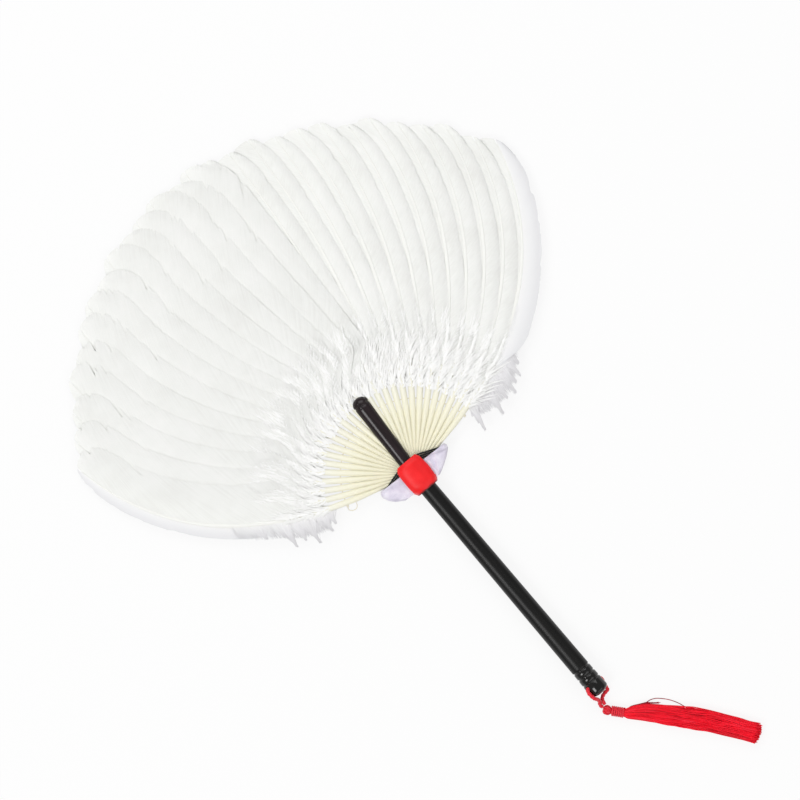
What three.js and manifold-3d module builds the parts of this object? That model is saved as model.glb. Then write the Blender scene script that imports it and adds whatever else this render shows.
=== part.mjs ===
// A fixed hand fan: a sheet of white goose feathers pinched in the split top of a turned, black-lacquered
// handle, bound with black cord, wrapped in white ribbon and red satin, with a red tassel on a cord loop.
// Millimetres and degrees. +Y runs up the handle to the feather tips, +X is to the right seen from the
// front and +Z points out of the front face. The pivot is the point on the handle's axis where the
// quills meet.
import * as THREE from "three";
import { mergeVertices } from "three/addons/utils/BufferGeometryUtils.js";
import Module from "manifold-3d";

const solidKit = await Module();
solidKit.setup();
const { Manifold, Mesh: SolidMesh } = solidKit;

// Play between neighbouring pieces
const GAP = 0.3;

// Tools that cut openings reach this far, past the pieces that they cut
const CUT_REACH = 60;

// Handle: a turned rod, slotted at the top for the quills and drilled across at the end for the cord
const HANDLE_BELOW = 201; // from the pivot down to the end
const HANDLE_ABOVE = 67.5; // from the pivot up to the top of the stub
const STUB_TOP_RADIUS = 6.4;
const STUB_RADIUS = 5.4; // just above the red band
const GRIP_RADIUS = 6.15; // just below the red band
const END_RADIUS = 6.9; // above the ring grooves
const CAP_RADIUS = 7.4; // the rounded end
const CAP_LENGTH = 11.4; // from the last ring groove to the end
const END_ROUND = 5; // length of the rounding at the end
const RING_PITCH = 5.3; // between the ring grooves at the end
const RING_DEPTH = 0.6;
const STUB_RING_DROP = 6.4; // ring groove below the top of the stub
const STUB_ROUND = 5.4; // length of the rounding at the top of the stub
const SLOT_BELOW = 10; // the split ends this far below the pivot
const STUB_ROOT = 4; // the stub starts this far below the pivot, inside the red band
const STUB_SHIFT = -1; // and sits a little left of the grip's axis
const CORD_HOLE_UP = 8.8; // cross hole above the end of the handle
const CORD_HOLE_ROLL = 40; // the left mouth of the cross hole is turned up to the front
const HANDLE_SIDES = 24;

// Feathers: one in the middle and the rest in mirrored pairs
const FEATHER_PAIRS = 13;
const FAN_LEAN = 2.6; // the feathers, and the split stub that holds them, lean to the right of the handle
const QUILL_SPREAD = 75; // outermost quill to the middle feather
const TIP_SPREAD_LOSS = 23; // how far the outermost feather curls back towards the middle
const CURL_START = 40; // distances along the feathers are measured from the pivot
const CURL_END = 235;
const CURL_POWER = 1.7;
const FEATHER_REACH = 266; // tip of the middle feather
const LEFT_SHORTER = 30; // the outermost feather of each side is this much shorter
const RIGHT_SHORTER = 26;
const LEFT_FALL = 2.4; // the left feathers stay long almost to the side, the right ones shorten evenly
const RIGHT_FALL = 1;
const LENGTH_RIPPLE = 2.2; // natural unevenness of the tips
const BUTT_START = 11;
const BUTT_HALF_HEIGHT = 0.9;
const BUTT_END = 20; // the flattened butt swells into the round quill from here
const QUILL_ROUND_FROM = 36;
const QUILL_DIAMETER = 4.4;
const TIP_SHAFT_DIAMETER = 1.0;
const VANE_START = 58;
const VANE_THICKNESS = 0.5;
const VANE_NARROW = 11; // vane on the outer side of the shaft
const VANE_FREE_LEFT = 9; // vane on the free side of the outermost feather
const VANE_FREE_RIGHT = 15;
const VANE_BROAD = 29; // vane on the inner side of the shaft
const COVER_FROM = 82; // from here to COVER_FULL each vane opens out over the neighbouring quills
const COVER_FULL = 104;
const TUFT_WIDTH = 20; // down on the free side of the two outermost feathers
const TIP_ROUND = 30; // length of the rounded tip
const SHINGLE_RISE = 28; // height gained across the vane per radian, so that each laps the next
const TIP_LIFT = 0.5; // tips end this high above the surface that the fan lies on
const TIP_ROLL = 0.005; // slight roll of the sheet that brings both sides down evenly

// Sewing thread through the quills
const THREAD_DIAMETER = 0.9;
const THREAD_RADIUS = 53; // arc about the pivot
const THREAD_HOLE = 1.6;
const THREAD_KNOT = 2.2;

// Black cord wound round the quills and the stub
const BINDING_DIAMETER = 1.05;
const BINDING_TURNS = 3;
const BINDING_PITCH = 1.5;
const BINDING_TOP = 10.3;
const BINDING_HALF_WIDTH = 24.8;
const BINDING_END_STEP = 2.4; // each lower turn is this much narrower, down the slope of the quills
const BINDING_SLOPE = 0.36; // fall of each turn towards its ends

// White ribbon: a sleeve round the quill ends, wide at the top and narrow at the bottom
const RIBBON_THICKNESS = 0.6;
const RIBBON_TOP = 5;
const RIBBON_BOTTOM = -10.3;
const RIBBON_HALF_WIDTH = 29;
const RIBBON_NECK_HALF_WIDTH = 17;
const RIBBON_RIGHT_NECK = 13.5; // the right wing narrows more than the left one
const RIBBON_FOLD = 3.2; // depth of the rounded fold at each side

// How the wrapped pieces drape from the handle down to the quills
const DRAPE_FOOT = 14;

// Red band
const BAND_TOP = 10.5;
const BAND_BOTTOM = -13.2;
const BAND_HALF_WIDTH = 11;
const BAND_HALF_HEIGHT = 9.9;
const BAND_REST = 9.4; // the flat underside lies this far below the axis of the handle
const BAND_RING = 2.0; // closed ring at the bottom, below the ribbon
const BAND_SQUARENESS = 2.6;

// Tassel
const CORD_DIAMETER = 2.2;
const CORD_HOLE = 3.4;
const KNOT_RADIUS = 3.7;
const KNOT_BELOW = 12.4; // knot centre below the end of the handle
const KNOT_LEFT = 4.7;
const TASSEL_TURN = 41; // the tassel lies this far to the right of the handle's line
const NECK_RADIUS = 2.3;
const WINDING_DIAMETER = 1.0;
const WINDING_TURNS = 5;
const WINDING_PITCH = 1.45;
const SKIRT_LENGTH = 107.5; // from the knot centre to the cut end
const SKIRT_FLUTES = 14;
const SKIRT_FLUTE_DEPTH = 0.055;
const SKIRT_HALF_WIDTH = 8;
const SKIRT_HALF_HEIGHT = 4.2;
const SKIRT_BOW = 4.2; // the skirt lies in a slight bow to the right

// Values that follow from the dimensions above
const RADIAN = Math.PI / 180;
const FLOOR = -BAND_REST;
const FEATHER_STEP = QUILL_SPREAD / FEATHER_PAIRS;
const CURL = TIP_SPREAD_LOSS / QUILL_SPREAD;
const QUILL_RADIUS = QUILL_DIAMETER / 2;
const VANE_HALF = VANE_THICKNESS / 2;
const VANE_FULL_FROM = VANE_START + 8;
const SHORTEST_TIP_START = FEATHER_REACH - LEFT_SHORTER - LENGTH_RIPPLE - TIP_ROUND;
const VANE_ROWS = [0.165, 0.3, 0.425, 0.62, 0.865]; // cross-sections of a vane below its rounded tip
const QUILL_PILE = quillHalfHeight(Math.hypot(BINDING_HALF_WIDTH, BINDING_TOP));
const SLOT_WIDTH = QUILL_DIAMETER + 2 * GAP;
const HANDLE_END = -HANDLE_BELOW;
const CORD_HOLE_Y = HANDLE_END + CORD_HOLE_UP;
const KNOT_CENTRE = new THREE.Vector3(-KNOT_LEFT, HANDLE_END - KNOT_BELOW, FLOOR + KNOT_RADIUS + 0.2);
const SKIRT_DIRECTION = new THREE.Vector3(Math.sin(TASSEL_TURN * RADIAN), -Math.cos(TASSEL_TURN * RADIAN), 0);
const SKIRT_SIDE = new THREE.Vector3(Math.cos(TASSEL_TURN * RADIAN), Math.sin(TASSEL_TURN * RADIAN), 0);
const UP = new THREE.Vector3(0, 0, 1);

function blend(from, to, share) {
  return from + (to - from) * share;
}

function smooth(from, to, value) {
  const share = Math.min(1, Math.max(0, (value - from) / (to - from)));
  return share * share * (3 - 2 * share);
}

// Closed skin over rings of equal point count, each ring capped by a fan from its middle at both ends
function loft(rings) {
  const count = rings[0].length;
  const points = rings.flat();
  const faces = [];
  for (let ring = 0; ring + 1 < rings.length; ring += 1) {
    for (let side = 0; side < count; side += 1) {
      const a = ring * count + side;
      const b = ring * count + ((side + 1) % count);
      faces.push(a, b, b + count, a, b + count, a + count);
    }
  }
  const middle = (ring) => {
    const sum = ring.reduce((total, point) => total.add(point), new THREE.Vector3());
    return sum.divideScalar(count);
  };
  const first = points.push(middle(rings[0])) - 1;
  const last = points.push(middle(rings[rings.length - 1])) - 1;
  const lastRing = (rings.length - 1) * count;
  for (let side = 0; side < count; side += 1) {
    const after = (side + 1) % count;
    faces.push(first, after, side);
    faces.push(last, lastRing + side, lastRing + after);
  }
  return new THREE.BufferGeometry().setFromPoints(points).setIndex(faces);
}

// Thin-walled sleeve between two stacks of loops, open at the top and the bottom
function sleeve(outerLoops, innerLoops) {
  const count = outerLoops[0].length;
  const stack = [...outerLoops, ...innerLoops.slice().reverse()];
  const faces = [];
  for (let level = 0; level < stack.length; level += 1) {
    const next = (level + 1) % stack.length;
    for (let side = 0; side < count; side += 1) {
      const after = (side + 1) % count;
      const [a, b, c, d] = [
        level * count + side,
        level * count + after,
        next * count + after,
        next * count + side,
      ];
      faces.push(a, b, c, a, c, d);
    }
  }
  return new THREE.BufferGeometry().setFromPoints(stack.flat()).setIndex(faces);
}

// Round tube along a list of points; the radius is one number or a list with one for each point
function tube(centres, radius, sides) {
  let across = new THREE.Vector3();
  const rings = centres.map((centre, index) => {
    const before = centres[Math.max(0, index - 1)];
    const after = centres[Math.min(centres.length - 1, index + 1)];
    const along = after.clone().sub(before).normalize();
    if (index === 0) {
      across = Math.abs(along.z) < 0.9 ? new THREE.Vector3(0, 0, 1) : new THREE.Vector3(1, 0, 0);
    }
    across = across.clone().addScaledVector(along, -across.dot(along)).normalize();
    const upright = along.clone().cross(across);
    const size = Array.isArray(radius) ? radius[index] : radius;
    return Array.from({ length: sides }, (_, side) => {
      const turn = (2 * Math.PI * side) / sides;
      return centre
        .clone()
        .addScaledVector(across, size * Math.cos(turn))
        .addScaledVector(upright, size * Math.sin(turn));
    });
  });
  return loft(rings);
}

function solidOf(geometry) {
  const plain = new THREE.BufferGeometry().setAttribute("position", geometry.getAttribute("position"));
  plain.setIndex(geometry.getIndex());
  const merged = mergeVertices(plain, 1e-4);
  return new Manifold(
    new SolidMesh({
      numProp: 3,
      vertProperties: merged.getAttribute("position").array,
      triVerts: new Uint32Array(merged.getIndex().array),
    }),
  );
}

function geometryOf(solid) {
  const mesh = solid.getMesh();
  const geometry = new THREE.BufferGeometry();
  geometry.setAttribute("position", new THREE.BufferAttribute(mesh.vertProperties, 3));
  return geometry.setIndex(new THREE.BufferAttribute(mesh.triVerts, 1));
}

function box(width, depth, height, x, y, z) {
  return solidOf(new THREE.BoxGeometry(width, depth, height).translate(x, y, z));
}

// Least gap between turns of a wound tube that lie apart along its length
function leastTurnGap(centres, diameter, pointsPerTurn) {
  let least = Infinity;
  const apart = Math.floor(pointsPerTurn / 2);
  for (let a = 0; a < centres.length; a += 1) {
    for (let b = a + apart; b < centres.length; b += 1) {
      least = Math.min(least, centres[a].distanceTo(centres[b]) - diameter);
    }
  }
  return least;
}

// Height of a wrapped piece above the mid-plane, where it drapes from the handle down to the quills
function drape(x, overHandle, overQuills) {
  const share = Math.min(1, Math.abs(x) / DRAPE_FOOT);
  return overQuills + ((overHandle - overQuills) * (1 + Math.cos(Math.PI * share))) / 2;
}

// Handle
function handleGeometry() {
  const top = HANDLE_ABOVE;
  const cap = HANDLE_END + CAP_LENGTH;
  const ring = (y, radius) => [
    [radius, y - 0.8],
    [radius - RING_DEPTH, y - 0.2],
    [radius - RING_DEPTH, y + 0.2],
    [radius, y + 0.8],
  ];
  const turned = (profile) => {
    const points = profile.map(([radius, y]) => new THREE.Vector2(radius, y));
    return solidOf(new THREE.LatheGeometry(points, HANDLE_SIDES).rotateY(Math.PI / HANDLE_SIDES));
  };
  const grip = turned([
    [0, HANDLE_END],
    [0.49 * CAP_RADIUS, HANDLE_END],
    [0.8 * CAP_RADIUS, HANDLE_END + 0.2 * END_ROUND],
    [0.96 * CAP_RADIUS, HANDLE_END + 0.56 * END_ROUND],
    [CAP_RADIUS, HANDLE_END + END_ROUND],
    ...ring(cap, CAP_RADIUS - 0.2),
    ...ring(cap + RING_PITCH, END_RADIUS + 0.1),
    ...ring(cap + 2 * RING_PITCH, END_RADIUS),
    [GRIP_RADIUS, BAND_BOTTOM - 1],
    [GRIP_RADIUS, BAND_BOTTOM + 5.2],
    [STUB_RADIUS, BAND_TOP - 8.5],
    [0, BAND_TOP - 8.5],
  ]);
  const stub = turned([
    [0, -STUB_ROOT],
    [STUB_RADIUS, -STUB_ROOT],
    [STUB_RADIUS, BAND_TOP + 1],
    ...ring(top - STUB_RING_DROP, STUB_TOP_RADIUS - 0.1),
    [STUB_TOP_RADIUS, top - STUB_ROUND],
    [0.88 * STUB_TOP_RADIUS, top - 0.6 * STUB_ROUND],
    [0.65 * STUB_TOP_RADIUS, top - 0.26 * STUB_ROUND],
    [0.3 * STUB_TOP_RADIUS, top],
    [0, top],
  ]);
  const leaning = stub.rotate([0, 0, -FAN_LEAN]).translate([STUB_SHIFT, 0, 0]);
  const slotLength = HANDLE_ABOVE + SLOT_BELOW + 10;
  const slot = box(CUT_REACH, slotLength, SLOT_WIDTH, 0, slotLength / 2 - SLOT_BELOW, 0);
  const hole = new THREE.CylinderGeometry(CORD_HOLE / 2, CORD_HOLE / 2, CUT_REACH, 12);
  hole.rotateZ(Math.PI / 2).rotateY(CORD_HOLE_ROLL * RADIAN).translate(0, CORD_HOLE_Y, 0);
  return geometryOf(grip.add(leaning).subtract(slot).subtract(solidOf(hole)));
}

// Feathers
function curl(r) {
  const share = Math.max(0, (r - CURL_START) / (CURL_END - CURL_START));
  return 1 - CURL * share ** CURL_POWER;
}

function quillHalfWidth(r) {
  const room = (r * FEATHER_STEP * RADIAN - GAP) / 2;
  const taper = blend(QUILL_RADIUS, TIP_SHAFT_DIAMETER / 2, smooth(VANE_START, FEATHER_REACH + 20, r) ** 0.8);
  return Math.min(room, taper);
}

function quillHalfHeight(r) {
  const butt = blend(BUTT_HALF_HEIGHT, QUILL_RADIUS, smooth(BUTT_END, QUILL_ROUND_FROM, r));
  const along = Math.min(1, Math.max(0, (r - VANE_START) / (FEATHER_REACH - VANE_START)));
  return Math.min(butt, blend(QUILL_RADIUS, TIP_SHAFT_DIAMETER / 2, along));
}

// Middle height of the sheet of feathers: it droops to the tips, and rolls a little to lie evenly
function sheetHeight(r, angle) {
  const along = Math.max(0, (r - VANE_START) / (FEATHER_REACH - VANE_START));
  const lowSide = (SHINGLE_RISE * VANE_BROAD) / FEATHER_REACH;
  const droop = FLOOR + TIP_LIFT + VANE_HALF + lowSide;
  return along ** 2 * (droop + TIP_ROLL * r * Math.sin(angle));
}

// Width of one side of a vane: it fills the room between the quills, opens out over the neighbours and
// rounds off at the tip. The free side of an outermost feather opens at once, with a tuft of down.
function vaneWidth(r, reach, full, free) {
  const beyond = Math.max(0, (r - (reach - TIP_ROUND)) / TIP_ROUND);
  const rounding = (1 - Math.min(1, 0.96 * beyond) ** 2.2) ** 0.45;
  if (free) {
    const tuft = (TUFT_WIDTH - full) * (1 - smooth(VANE_START + 34, VANE_START + 58, r));
    return (full + tuft) * smooth(VANE_START - 2, VANE_START + 14, r) * rounding;
  }
  const room = r * FEATHER_STEP * RADIAN * curl(r) - quillHalfWidth(r) - 2 * GAP;
  const base = Math.min(full, room * smooth(VANE_START, VANE_START + 20, r));
  return blend(base, full, smooth(COVER_FROM, COVER_FULL, r)) * rounding;
}

function featherRing(feather, r) {
  const middle = feather.angle * RADIAN * curl(r);
  const vane = smooth(VANE_START, VANE_FULL_FROM, r);
  const width = quillHalfWidth(r);
  const height = quillHalfHeight(r);
  const root = blend(0.42 * height, VANE_HALF, vane);
  const edge = blend(0.16 * height, VANE_HALF, vane);
  const shaft = blend(0.94, 1, vane) * width;
  const least = blend(1, 1.06, vane) * width;
  const right = Math.max(least, vaneWidth(r, feather.reach, feather.rightVane, feather.freeRight));
  const left = Math.max(least, vaneWidth(r, feather.reach, feather.leftVane, feather.freeLeft));
  const outline = [
    [right, edge],
    [right, -edge],
    [shaft, -root],
    [0.55 * shaft, -height],
    [-0.55 * shaft, -height],
    [-shaft, -root],
    [-left, -edge],
    [-left, edge],
    [-shaft, root],
    [-0.55 * shaft, height],
    [0.55 * shaft, height],
    [shaft, root],
  ];
  const level = (shaft / r) * (1 - smooth(VANE_FULL_FROM, VANE_FULL_FROM + 16, r));
  return outline.map(([side, up]) => {
    const turn = side / r;
    const tilted = turn - Math.min(level, Math.max(-level, turn));
    const lap = SHINGLE_RISE * tilted * vane;
    const rise = sheetHeight(r, middle + turn) + lap + up;
    return new THREE.Vector3(r * Math.sin(middle + turn), r * Math.cos(middle + turn), rise);
  });
}

function feather(place) {
  const freeLeft = place === -FEATHER_PAIRS;
  const freeRight = place === FEATHER_PAIRS;
  const rank = Math.abs(place);
  const share = rank / FEATHER_PAIRS;
  const ripple = LENGTH_RIPPLE * Math.sin(2.4 * place + 0.7);
  const shorter = place > 0 ? RIGHT_SHORTER * share ** RIGHT_FALL : LEFT_SHORTER * share ** LEFT_FALL;
  const leftOuter = freeLeft ? VANE_FREE_LEFT : VANE_NARROW;
  const rightOuter = freeRight ? VANE_FREE_RIGHT : VANE_NARROW;
  return {
    angle: place * FEATHER_STEP,
    reach: FEATHER_REACH - shorter + ripple,
    leftVane: place > 0 ? VANE_BROAD : leftOuter,
    rightVane: place > 0 ? rightOuter : VANE_BROAD,
    freeLeft,
    freeRight,
  };
}

function featherGeometry(place, threadHole) {
  const one = feather(place);
  const butts = [BUTT_START, BUTT_END, QUILL_ROUND_FROM, VANE_START];
  const rows = VANE_ROWS.map((share) => blend(VANE_START, SHORTEST_TIP_START, share));
  const vane = [VANE_FULL_FROM, ...rows];
  const tip = [TIP_ROUND, 14, 5, 0].map((back) => one.reach - back);
  const rings = [...butts, ...vane, ...tip].map((r) => featherRing(one, r));
  return geometryOf(solidOf(loft(rings)).subtract(threadHole));
}

// Sewing thread with a knot at each end, and the hole that it needs in every quill
function onThread(along) {
  const angle = along / THREAD_RADIUS;
  return new THREE.Vector3(THREAD_RADIUS * Math.sin(angle), THREAD_RADIUS * Math.cos(angle), 0);
}

function threadReach() {
  return QUILL_SPREAD * RADIAN * curl(THREAD_RADIUS) * THREAD_RADIUS + QUILL_RADIUS + GAP;
}

function threadGeometry() {
  const steps = 36;
  const reach = threadReach();
  const thread = THREAD_DIAMETER / 2;
  const knot = THREAD_KNOT / 2;
  const ends = [
    [reach, thread],
    [reach + 0.3 * THREAD_KNOT, knot],
    [reach + 0.8 * THREAD_KNOT, knot],
    [reach + THREAD_KNOT, 0.5 * knot],
  ];
  const run = Array.from({ length: steps - 1 }, (_, step) => {
    return [blend(-reach, reach, (step + 1) / steps), thread];
  });
  const stops = [...ends.map(([along, radius]) => [-along, radius]).reverse(), ...run, ...ends];
  return tube(
    stops.map(([along]) => onThread(along)),
    stops.map(([, radius]) => radius),
    6,
  );
}

function threadHoleSolid() {
  const steps = 40;
  const reach = threadReach() + THREAD_KNOT;
  const centres = Array.from({ length: steps + 1 }, (_, step) => {
    return onThread(blend(-reach, reach, step / steps));
  });
  return solidOf(tube(centres, THREAD_HOLE / 2, 6));
}

// Black binding: each turn drapes over the stub, lies on the quills and folds round the outermost ones
function bindingPath() {
  const overHandle = STUB_RADIUS + 0.5 + BINDING_DIAMETER / 2;
  const overQuills = QUILL_PILE + GAP + BINDING_DIAMETER / 2;
  const quarter = [
    [0, 1],
    [0.18, 1],
    [0.36, 1],
    [0.58, 1],
    [0.9, 1],
    [0.985, 0.62],
    [1, 0],
  ];
  const back = quarter.slice(0, -1).reverse();
  const half = [...quarter.map(([x, z]) => [x, z]), ...back.map(([x, z]) => [x, -z])];
  const otherHalf = half.slice(1, -1).map(([x, z]) => [-x, -z]);
  const turn = [...half, ...otherHalf];
  const centres = [];
  for (let step = 0; step <= BINDING_TURNS * turn.length; step += 1) {
    const turns = step / turn.length;
    const [across, share] = turn[step % turn.length];
    const x = across * (BINDING_HALF_WIDTH - BINDING_END_STEP * turns);
    const fall = BINDING_SLOPE * Math.max(0, Math.abs(x) - 9);
    const y = BINDING_TOP - BINDING_PITCH * turns - fall;
    centres.push(new THREE.Vector3(x, y, share * drape(x, overHandle, overQuills)));
  }
  return { centres, pointsPerTurn: turn.length };
}

// White ribbon
function ribbonWing(halfWidth, inset) {
  const overHandle = GRIP_RADIUS + 0.5 + RIBBON_THICKNESS - inset;
  const overQuills = QUILL_PILE + BINDING_DIAMETER + 3 * GAP + RIBBON_THICKNESS - inset;
  const reach = halfWidth - inset;
  const foldFrom = reach - RIBBON_FOLD;
  const quarter = [0, 0.16, 0.32, 0.48, 0.64, 0.84, 0.93, 0.985, 1].map((share) => {
    const x = share * reach;
    const beyond = Math.max(0, (x - foldFrom) / RIBBON_FOLD);
    return [x, drape(x, overHandle, overQuills) * Math.sqrt(Math.max(0, 1 - beyond ** 2))];
  });
  const back = quarter.slice(0, -1).reverse();
  return [...quarter, ...back.map(([x, z]) => [x, -z])];
}

function ribbonLoop(y, leftWidth, rightWidth, inset) {
  const right = ribbonWing(rightWidth, inset);
  const left = ribbonWing(leftWidth, inset).slice(1, -1).map(([x, z]) => [-x, -z]);
  return [...right, ...left].map(([x, z]) => new THREE.Vector3(x, y, z));
}

function ribbonGeometry() {
  const leftWidth = (share) => blend(RIBBON_NECK_HALF_WIDTH, RIBBON_HALF_WIDTH, share);
  const rightWidth = (share) => blend(RIBBON_RIGHT_NECK, RIBBON_HALF_WIDTH, share);
  const levels = [
    [0, leftWidth(0), rightWidth(0)],
    [0.22, leftWidth(0.5), rightWidth(0.39)],
    [0.46, leftWidth(0.86), rightWidth(0.71)],
    [0.72, leftWidth(1), rightWidth(1)],
    [1, leftWidth(0.96), rightWidth(0.97)],
  ];
  const loops = (inset) =>
    levels.map(([share, left, right]) => ribbonLoop(blend(RIBBON_BOTTOM, RIBBON_TOP, share), left, right, inset));
  return sleeve(loops(0), loops(RIBBON_THICKNESS));
}

// Red band: a barrel-shaped wrap, open at the sides above its bottom ring for the ribbon and the quills
function roundedLoop(y, halfWidth, halfHeight) {
  const sides = 28;
  return Array.from({ length: sides }, (_, side) => {
    const turn = (2 * Math.PI * side) / sides;
    const across = Math.cos(turn);
    const up = Math.sin(turn);
    const power = 2 / BAND_SQUARENESS;
    const x = halfWidth * Math.sign(across) * Math.abs(across) ** power;
    const z = halfHeight * Math.sign(up) * Math.abs(up) ** power;
    return new THREE.Vector3(x, y, z);
  }).reverse();
}

function bandGeometry() {
  const outerLevels = [
    [BAND_BOTTOM, 0.76, 0.83],
    [BAND_BOTTOM + BAND_RING, 0.88, 0.95],
    [-4, 1, 1],
    [4, 1, 1],
    [BAND_TOP - 1.6, 0.96, 0.95],
    [BAND_TOP, 0.9, 0.88],
  ];
  const outer = loft(
    outerLevels.map(([y, wide, high]) => roundedLoop(y, wide * BAND_HALF_WIDTH, high * BAND_HALF_HEIGHT)),
  );
  const cavityFloor = BAND_BOTTOM + BAND_RING;
  const insideHeight = GRIP_RADIUS + 0.5 + RIBBON_THICKNESS + GAP;
  const insideWidth = BAND_HALF_WIDTH - 1.2;
  const inside = loft([cavityFloor, BAND_TOP + 5].map((y) => roundedLoop(y, insideWidth, insideHeight)));
  const handleHole = new THREE.CylinderGeometry(GRIP_RADIUS + GAP, GRIP_RADIUS + GAP, CUT_REACH, HANDLE_SIDES);
  const sideHeight = 2 * (drape(0.66 * insideWidth, insideHeight, QUILL_PILE + 2.6) + GAP);
  const sideLength = BAND_TOP - cavityFloor + 20;
  const sides = box(CUT_REACH, sideLength, sideHeight, 0, cavityFloor + sideLength / 2, 0);
  const below = box(CUT_REACH, CUT_REACH, CUT_REACH, 0, 0, FLOOR - CUT_REACH / 2);
  const cuts = [solidOf(inside), solidOf(handleHole), sides, below];
  return geometryOf(cuts.reduce((band, cut) => band.subtract(cut), solidOf(outer)));
}

// Tassel cord: from the knot up to the left mouth of the cross hole, through the handle, down its other
// side and back round the end to the knot
function cordGeometry() {
  const top = CORD_HOLE_Y;
  const bottom = HANDLE_END;
  const clear = CAP_RADIUS + CORD_DIAMETER / 2 + 0.35;
  const knot = KNOT_CENTRE;
  const finish = knot.y + KNOT_RADIUS + 0.35;
  const apart = CORD_DIAMETER / 2 + 0.2;
  const below = bottom - CORD_DIAMETER / 2 - 0.7;
  const onHole = (along, y) => {
    const roll = CORD_HOLE_ROLL * RADIAN;
    return [along * Math.cos(roll), y, -along * Math.sin(roll)];
  };
  const route = [
    [knot.x - apart, finish, knot.z],
    [knot.x - apart - 0.1, finish + 2, knot.z + 1],
    [knot.x - apart + 0.3, below - 1.2, knot.z + 4.2],
    onHole(-clear + 0.6, bottom + 1.2),
    onHole(-clear, top - 4.4),
    onHole(-clear + 0.1, top - 2.2),
    onHole(-clear + 1.4, top - 0.25),
    onHole(-clear + 3.6, top),
    [0, top, 0],
    onHole(clear - 3.6, top),
    onHole(clear - 1.4, top - 0.25),
    onHole(clear - 0.1, top - 2.2),
    onHole(clear, top - 4.4),
    onHole(clear - 0.2, bottom + 1.8),
    [knot.x + 9.9, below + 0.1, knot.z - 0.2],
    [knot.x + 6.6, below - 0.7, knot.z],
    [knot.x + 3.2, below - 1.9, knot.z],
    [knot.x + apart + 0.3, finish + 1.9, knot.z],
    [knot.x + apart, finish, knot.z],
  ].map(([x, y, z]) => new THREE.Vector3(x, y, z));
  const curve = new THREE.CatmullRomCurve3(route, false, "centripetal");
  return tube(curve.getSpacedPoints(40), CORD_DIAMETER / 2, 8);
}

function windingPath() {
  const pointsPerTurn = 18;
  const radius = NECK_RADIUS + 0.25 + WINDING_DIAMETER / 2;
  const start = KNOT_RADIUS + GAP + WINDING_DIAMETER / 2 + 0.2;
  const steps = WINDING_TURNS * pointsPerTurn;
  const centres = Array.from({ length: steps + 1 }, (_, step) => {
    const turn = (2 * Math.PI * step) / pointsPerTurn;
    return KNOT_CENTRE.clone()
      .addScaledVector(SKIRT_DIRECTION, start + (WINDING_PITCH * step) / pointsPerTurn)
      .addScaledVector(SKIRT_SIDE, radius * Math.cos(turn))
      .addScaledVector(UP, radius * Math.sin(turn));
  });
  return { centres, pointsPerTurn };
}

function skirtGeometry() {
  const neckEnd = KNOT_RADIUS + GAP + WINDING_PITCH * WINDING_TURNS + WINDING_DIAMETER + 0.6;
  const rows = [
    [KNOT_RADIUS + GAP, 0, 0, 0],
    [neckEnd, 0, 0, 0],
    [blend(neckEnd, SKIRT_LENGTH, 0.05), 0.28, 0.35, 0.32],
    [blend(neckEnd, SKIRT_LENGTH, 0.14), 0.62, 0.8, 0.78],
    [blend(neckEnd, SKIRT_LENGTH, 0.32), 0.86, 1, 1],
    [blend(neckEnd, SKIRT_LENGTH, 0.6), 0.94, 1, 0.96],
    [blend(neckEnd, SKIRT_LENGTH, 0.85), 0.98, 1, 0.4],
    [SKIRT_LENGTH - 1.2, 1, 0.95, 0],
    [SKIRT_LENGTH, 0.94, 0.85, 0],
  ];
  const points = 2 * SKIRT_FLUTES;
  const rings = rows.map(([along, wide, high, bow]) => {
    const width = blend(NECK_RADIUS, SKIRT_HALF_WIDTH, wide);
    const height = blend(NECK_RADIUS, SKIRT_HALF_HEIGHT, high);
    const centreHeight = blend(KNOT_CENTRE.z, FLOOR + SKIRT_HALF_HEIGHT + 0.5, high);
    const flute = high > 0 ? SKIRT_FLUTE_DEPTH : 0;
    const centre = KNOT_CENTRE.clone()
      .addScaledVector(SKIRT_DIRECTION, along)
      .addScaledVector(SKIRT_SIDE, bow * SKIRT_BOW)
      .setZ(centreHeight);
    return Array.from({ length: points }, (_, point) => {
      const turn = (2 * Math.PI * point) / points;
      const swell = 1 + flute * Math.cos(SKIRT_FLUTES * turn);
      return centre
        .clone()
        .addScaledVector(SKIRT_SIDE, width * swell * Math.cos(turn))
        .addScaledVector(UP, height * swell * Math.sin(turn));
    });
  });
  return loft(rings);
}

// Assembly
const fan = new THREE.Group();
fan.name = "feather_fan";
const lean = -FAN_LEAN * RADIAN;

function add(name, geometry, colour, roughness) {
  const material = new THREE.MeshStandardMaterial({ color: colour, roughness });
  const mesh = new THREE.Mesh(geometry, material);
  mesh.name = name;
  fan.add(mesh);
  return mesh;
}

function featherName(place) {
  if (place === 0) return "feather_centre";
  const side = place < 0 ? "left" : "right";
  return `feather_${side}_${String(Math.abs(place)).padStart(2, "0")}`;
}

add("handle", handleGeometry(), 0x120e10, 0.25);

const threadHole = threadHoleSolid();
for (let place = -FEATHER_PAIRS; place <= FEATHER_PAIRS; place += 1) {
  add(featherName(place), featherGeometry(place, threadHole).rotateZ(lean), 0xf1f1ea, 0.8);
}
add("sewing_thread", threadGeometry().rotateZ(lean), 0xe8e2d0, 0.9);

const binding = bindingPath();
const bindingTube = tube(binding.centres, BINDING_DIAMETER / 2, 6);
add("quill_binding", bindingTube.rotateZ(lean), 0x1b1b1d, 0.8);
add("white_ribbon", ribbonGeometry().rotateZ(lean), 0xe4dfee, 0.5);
add("red_band", bandGeometry(), 0xe01a22, 0.5);

const fixedSize = new THREE.Box3().setFromObject(fan, true);

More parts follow.
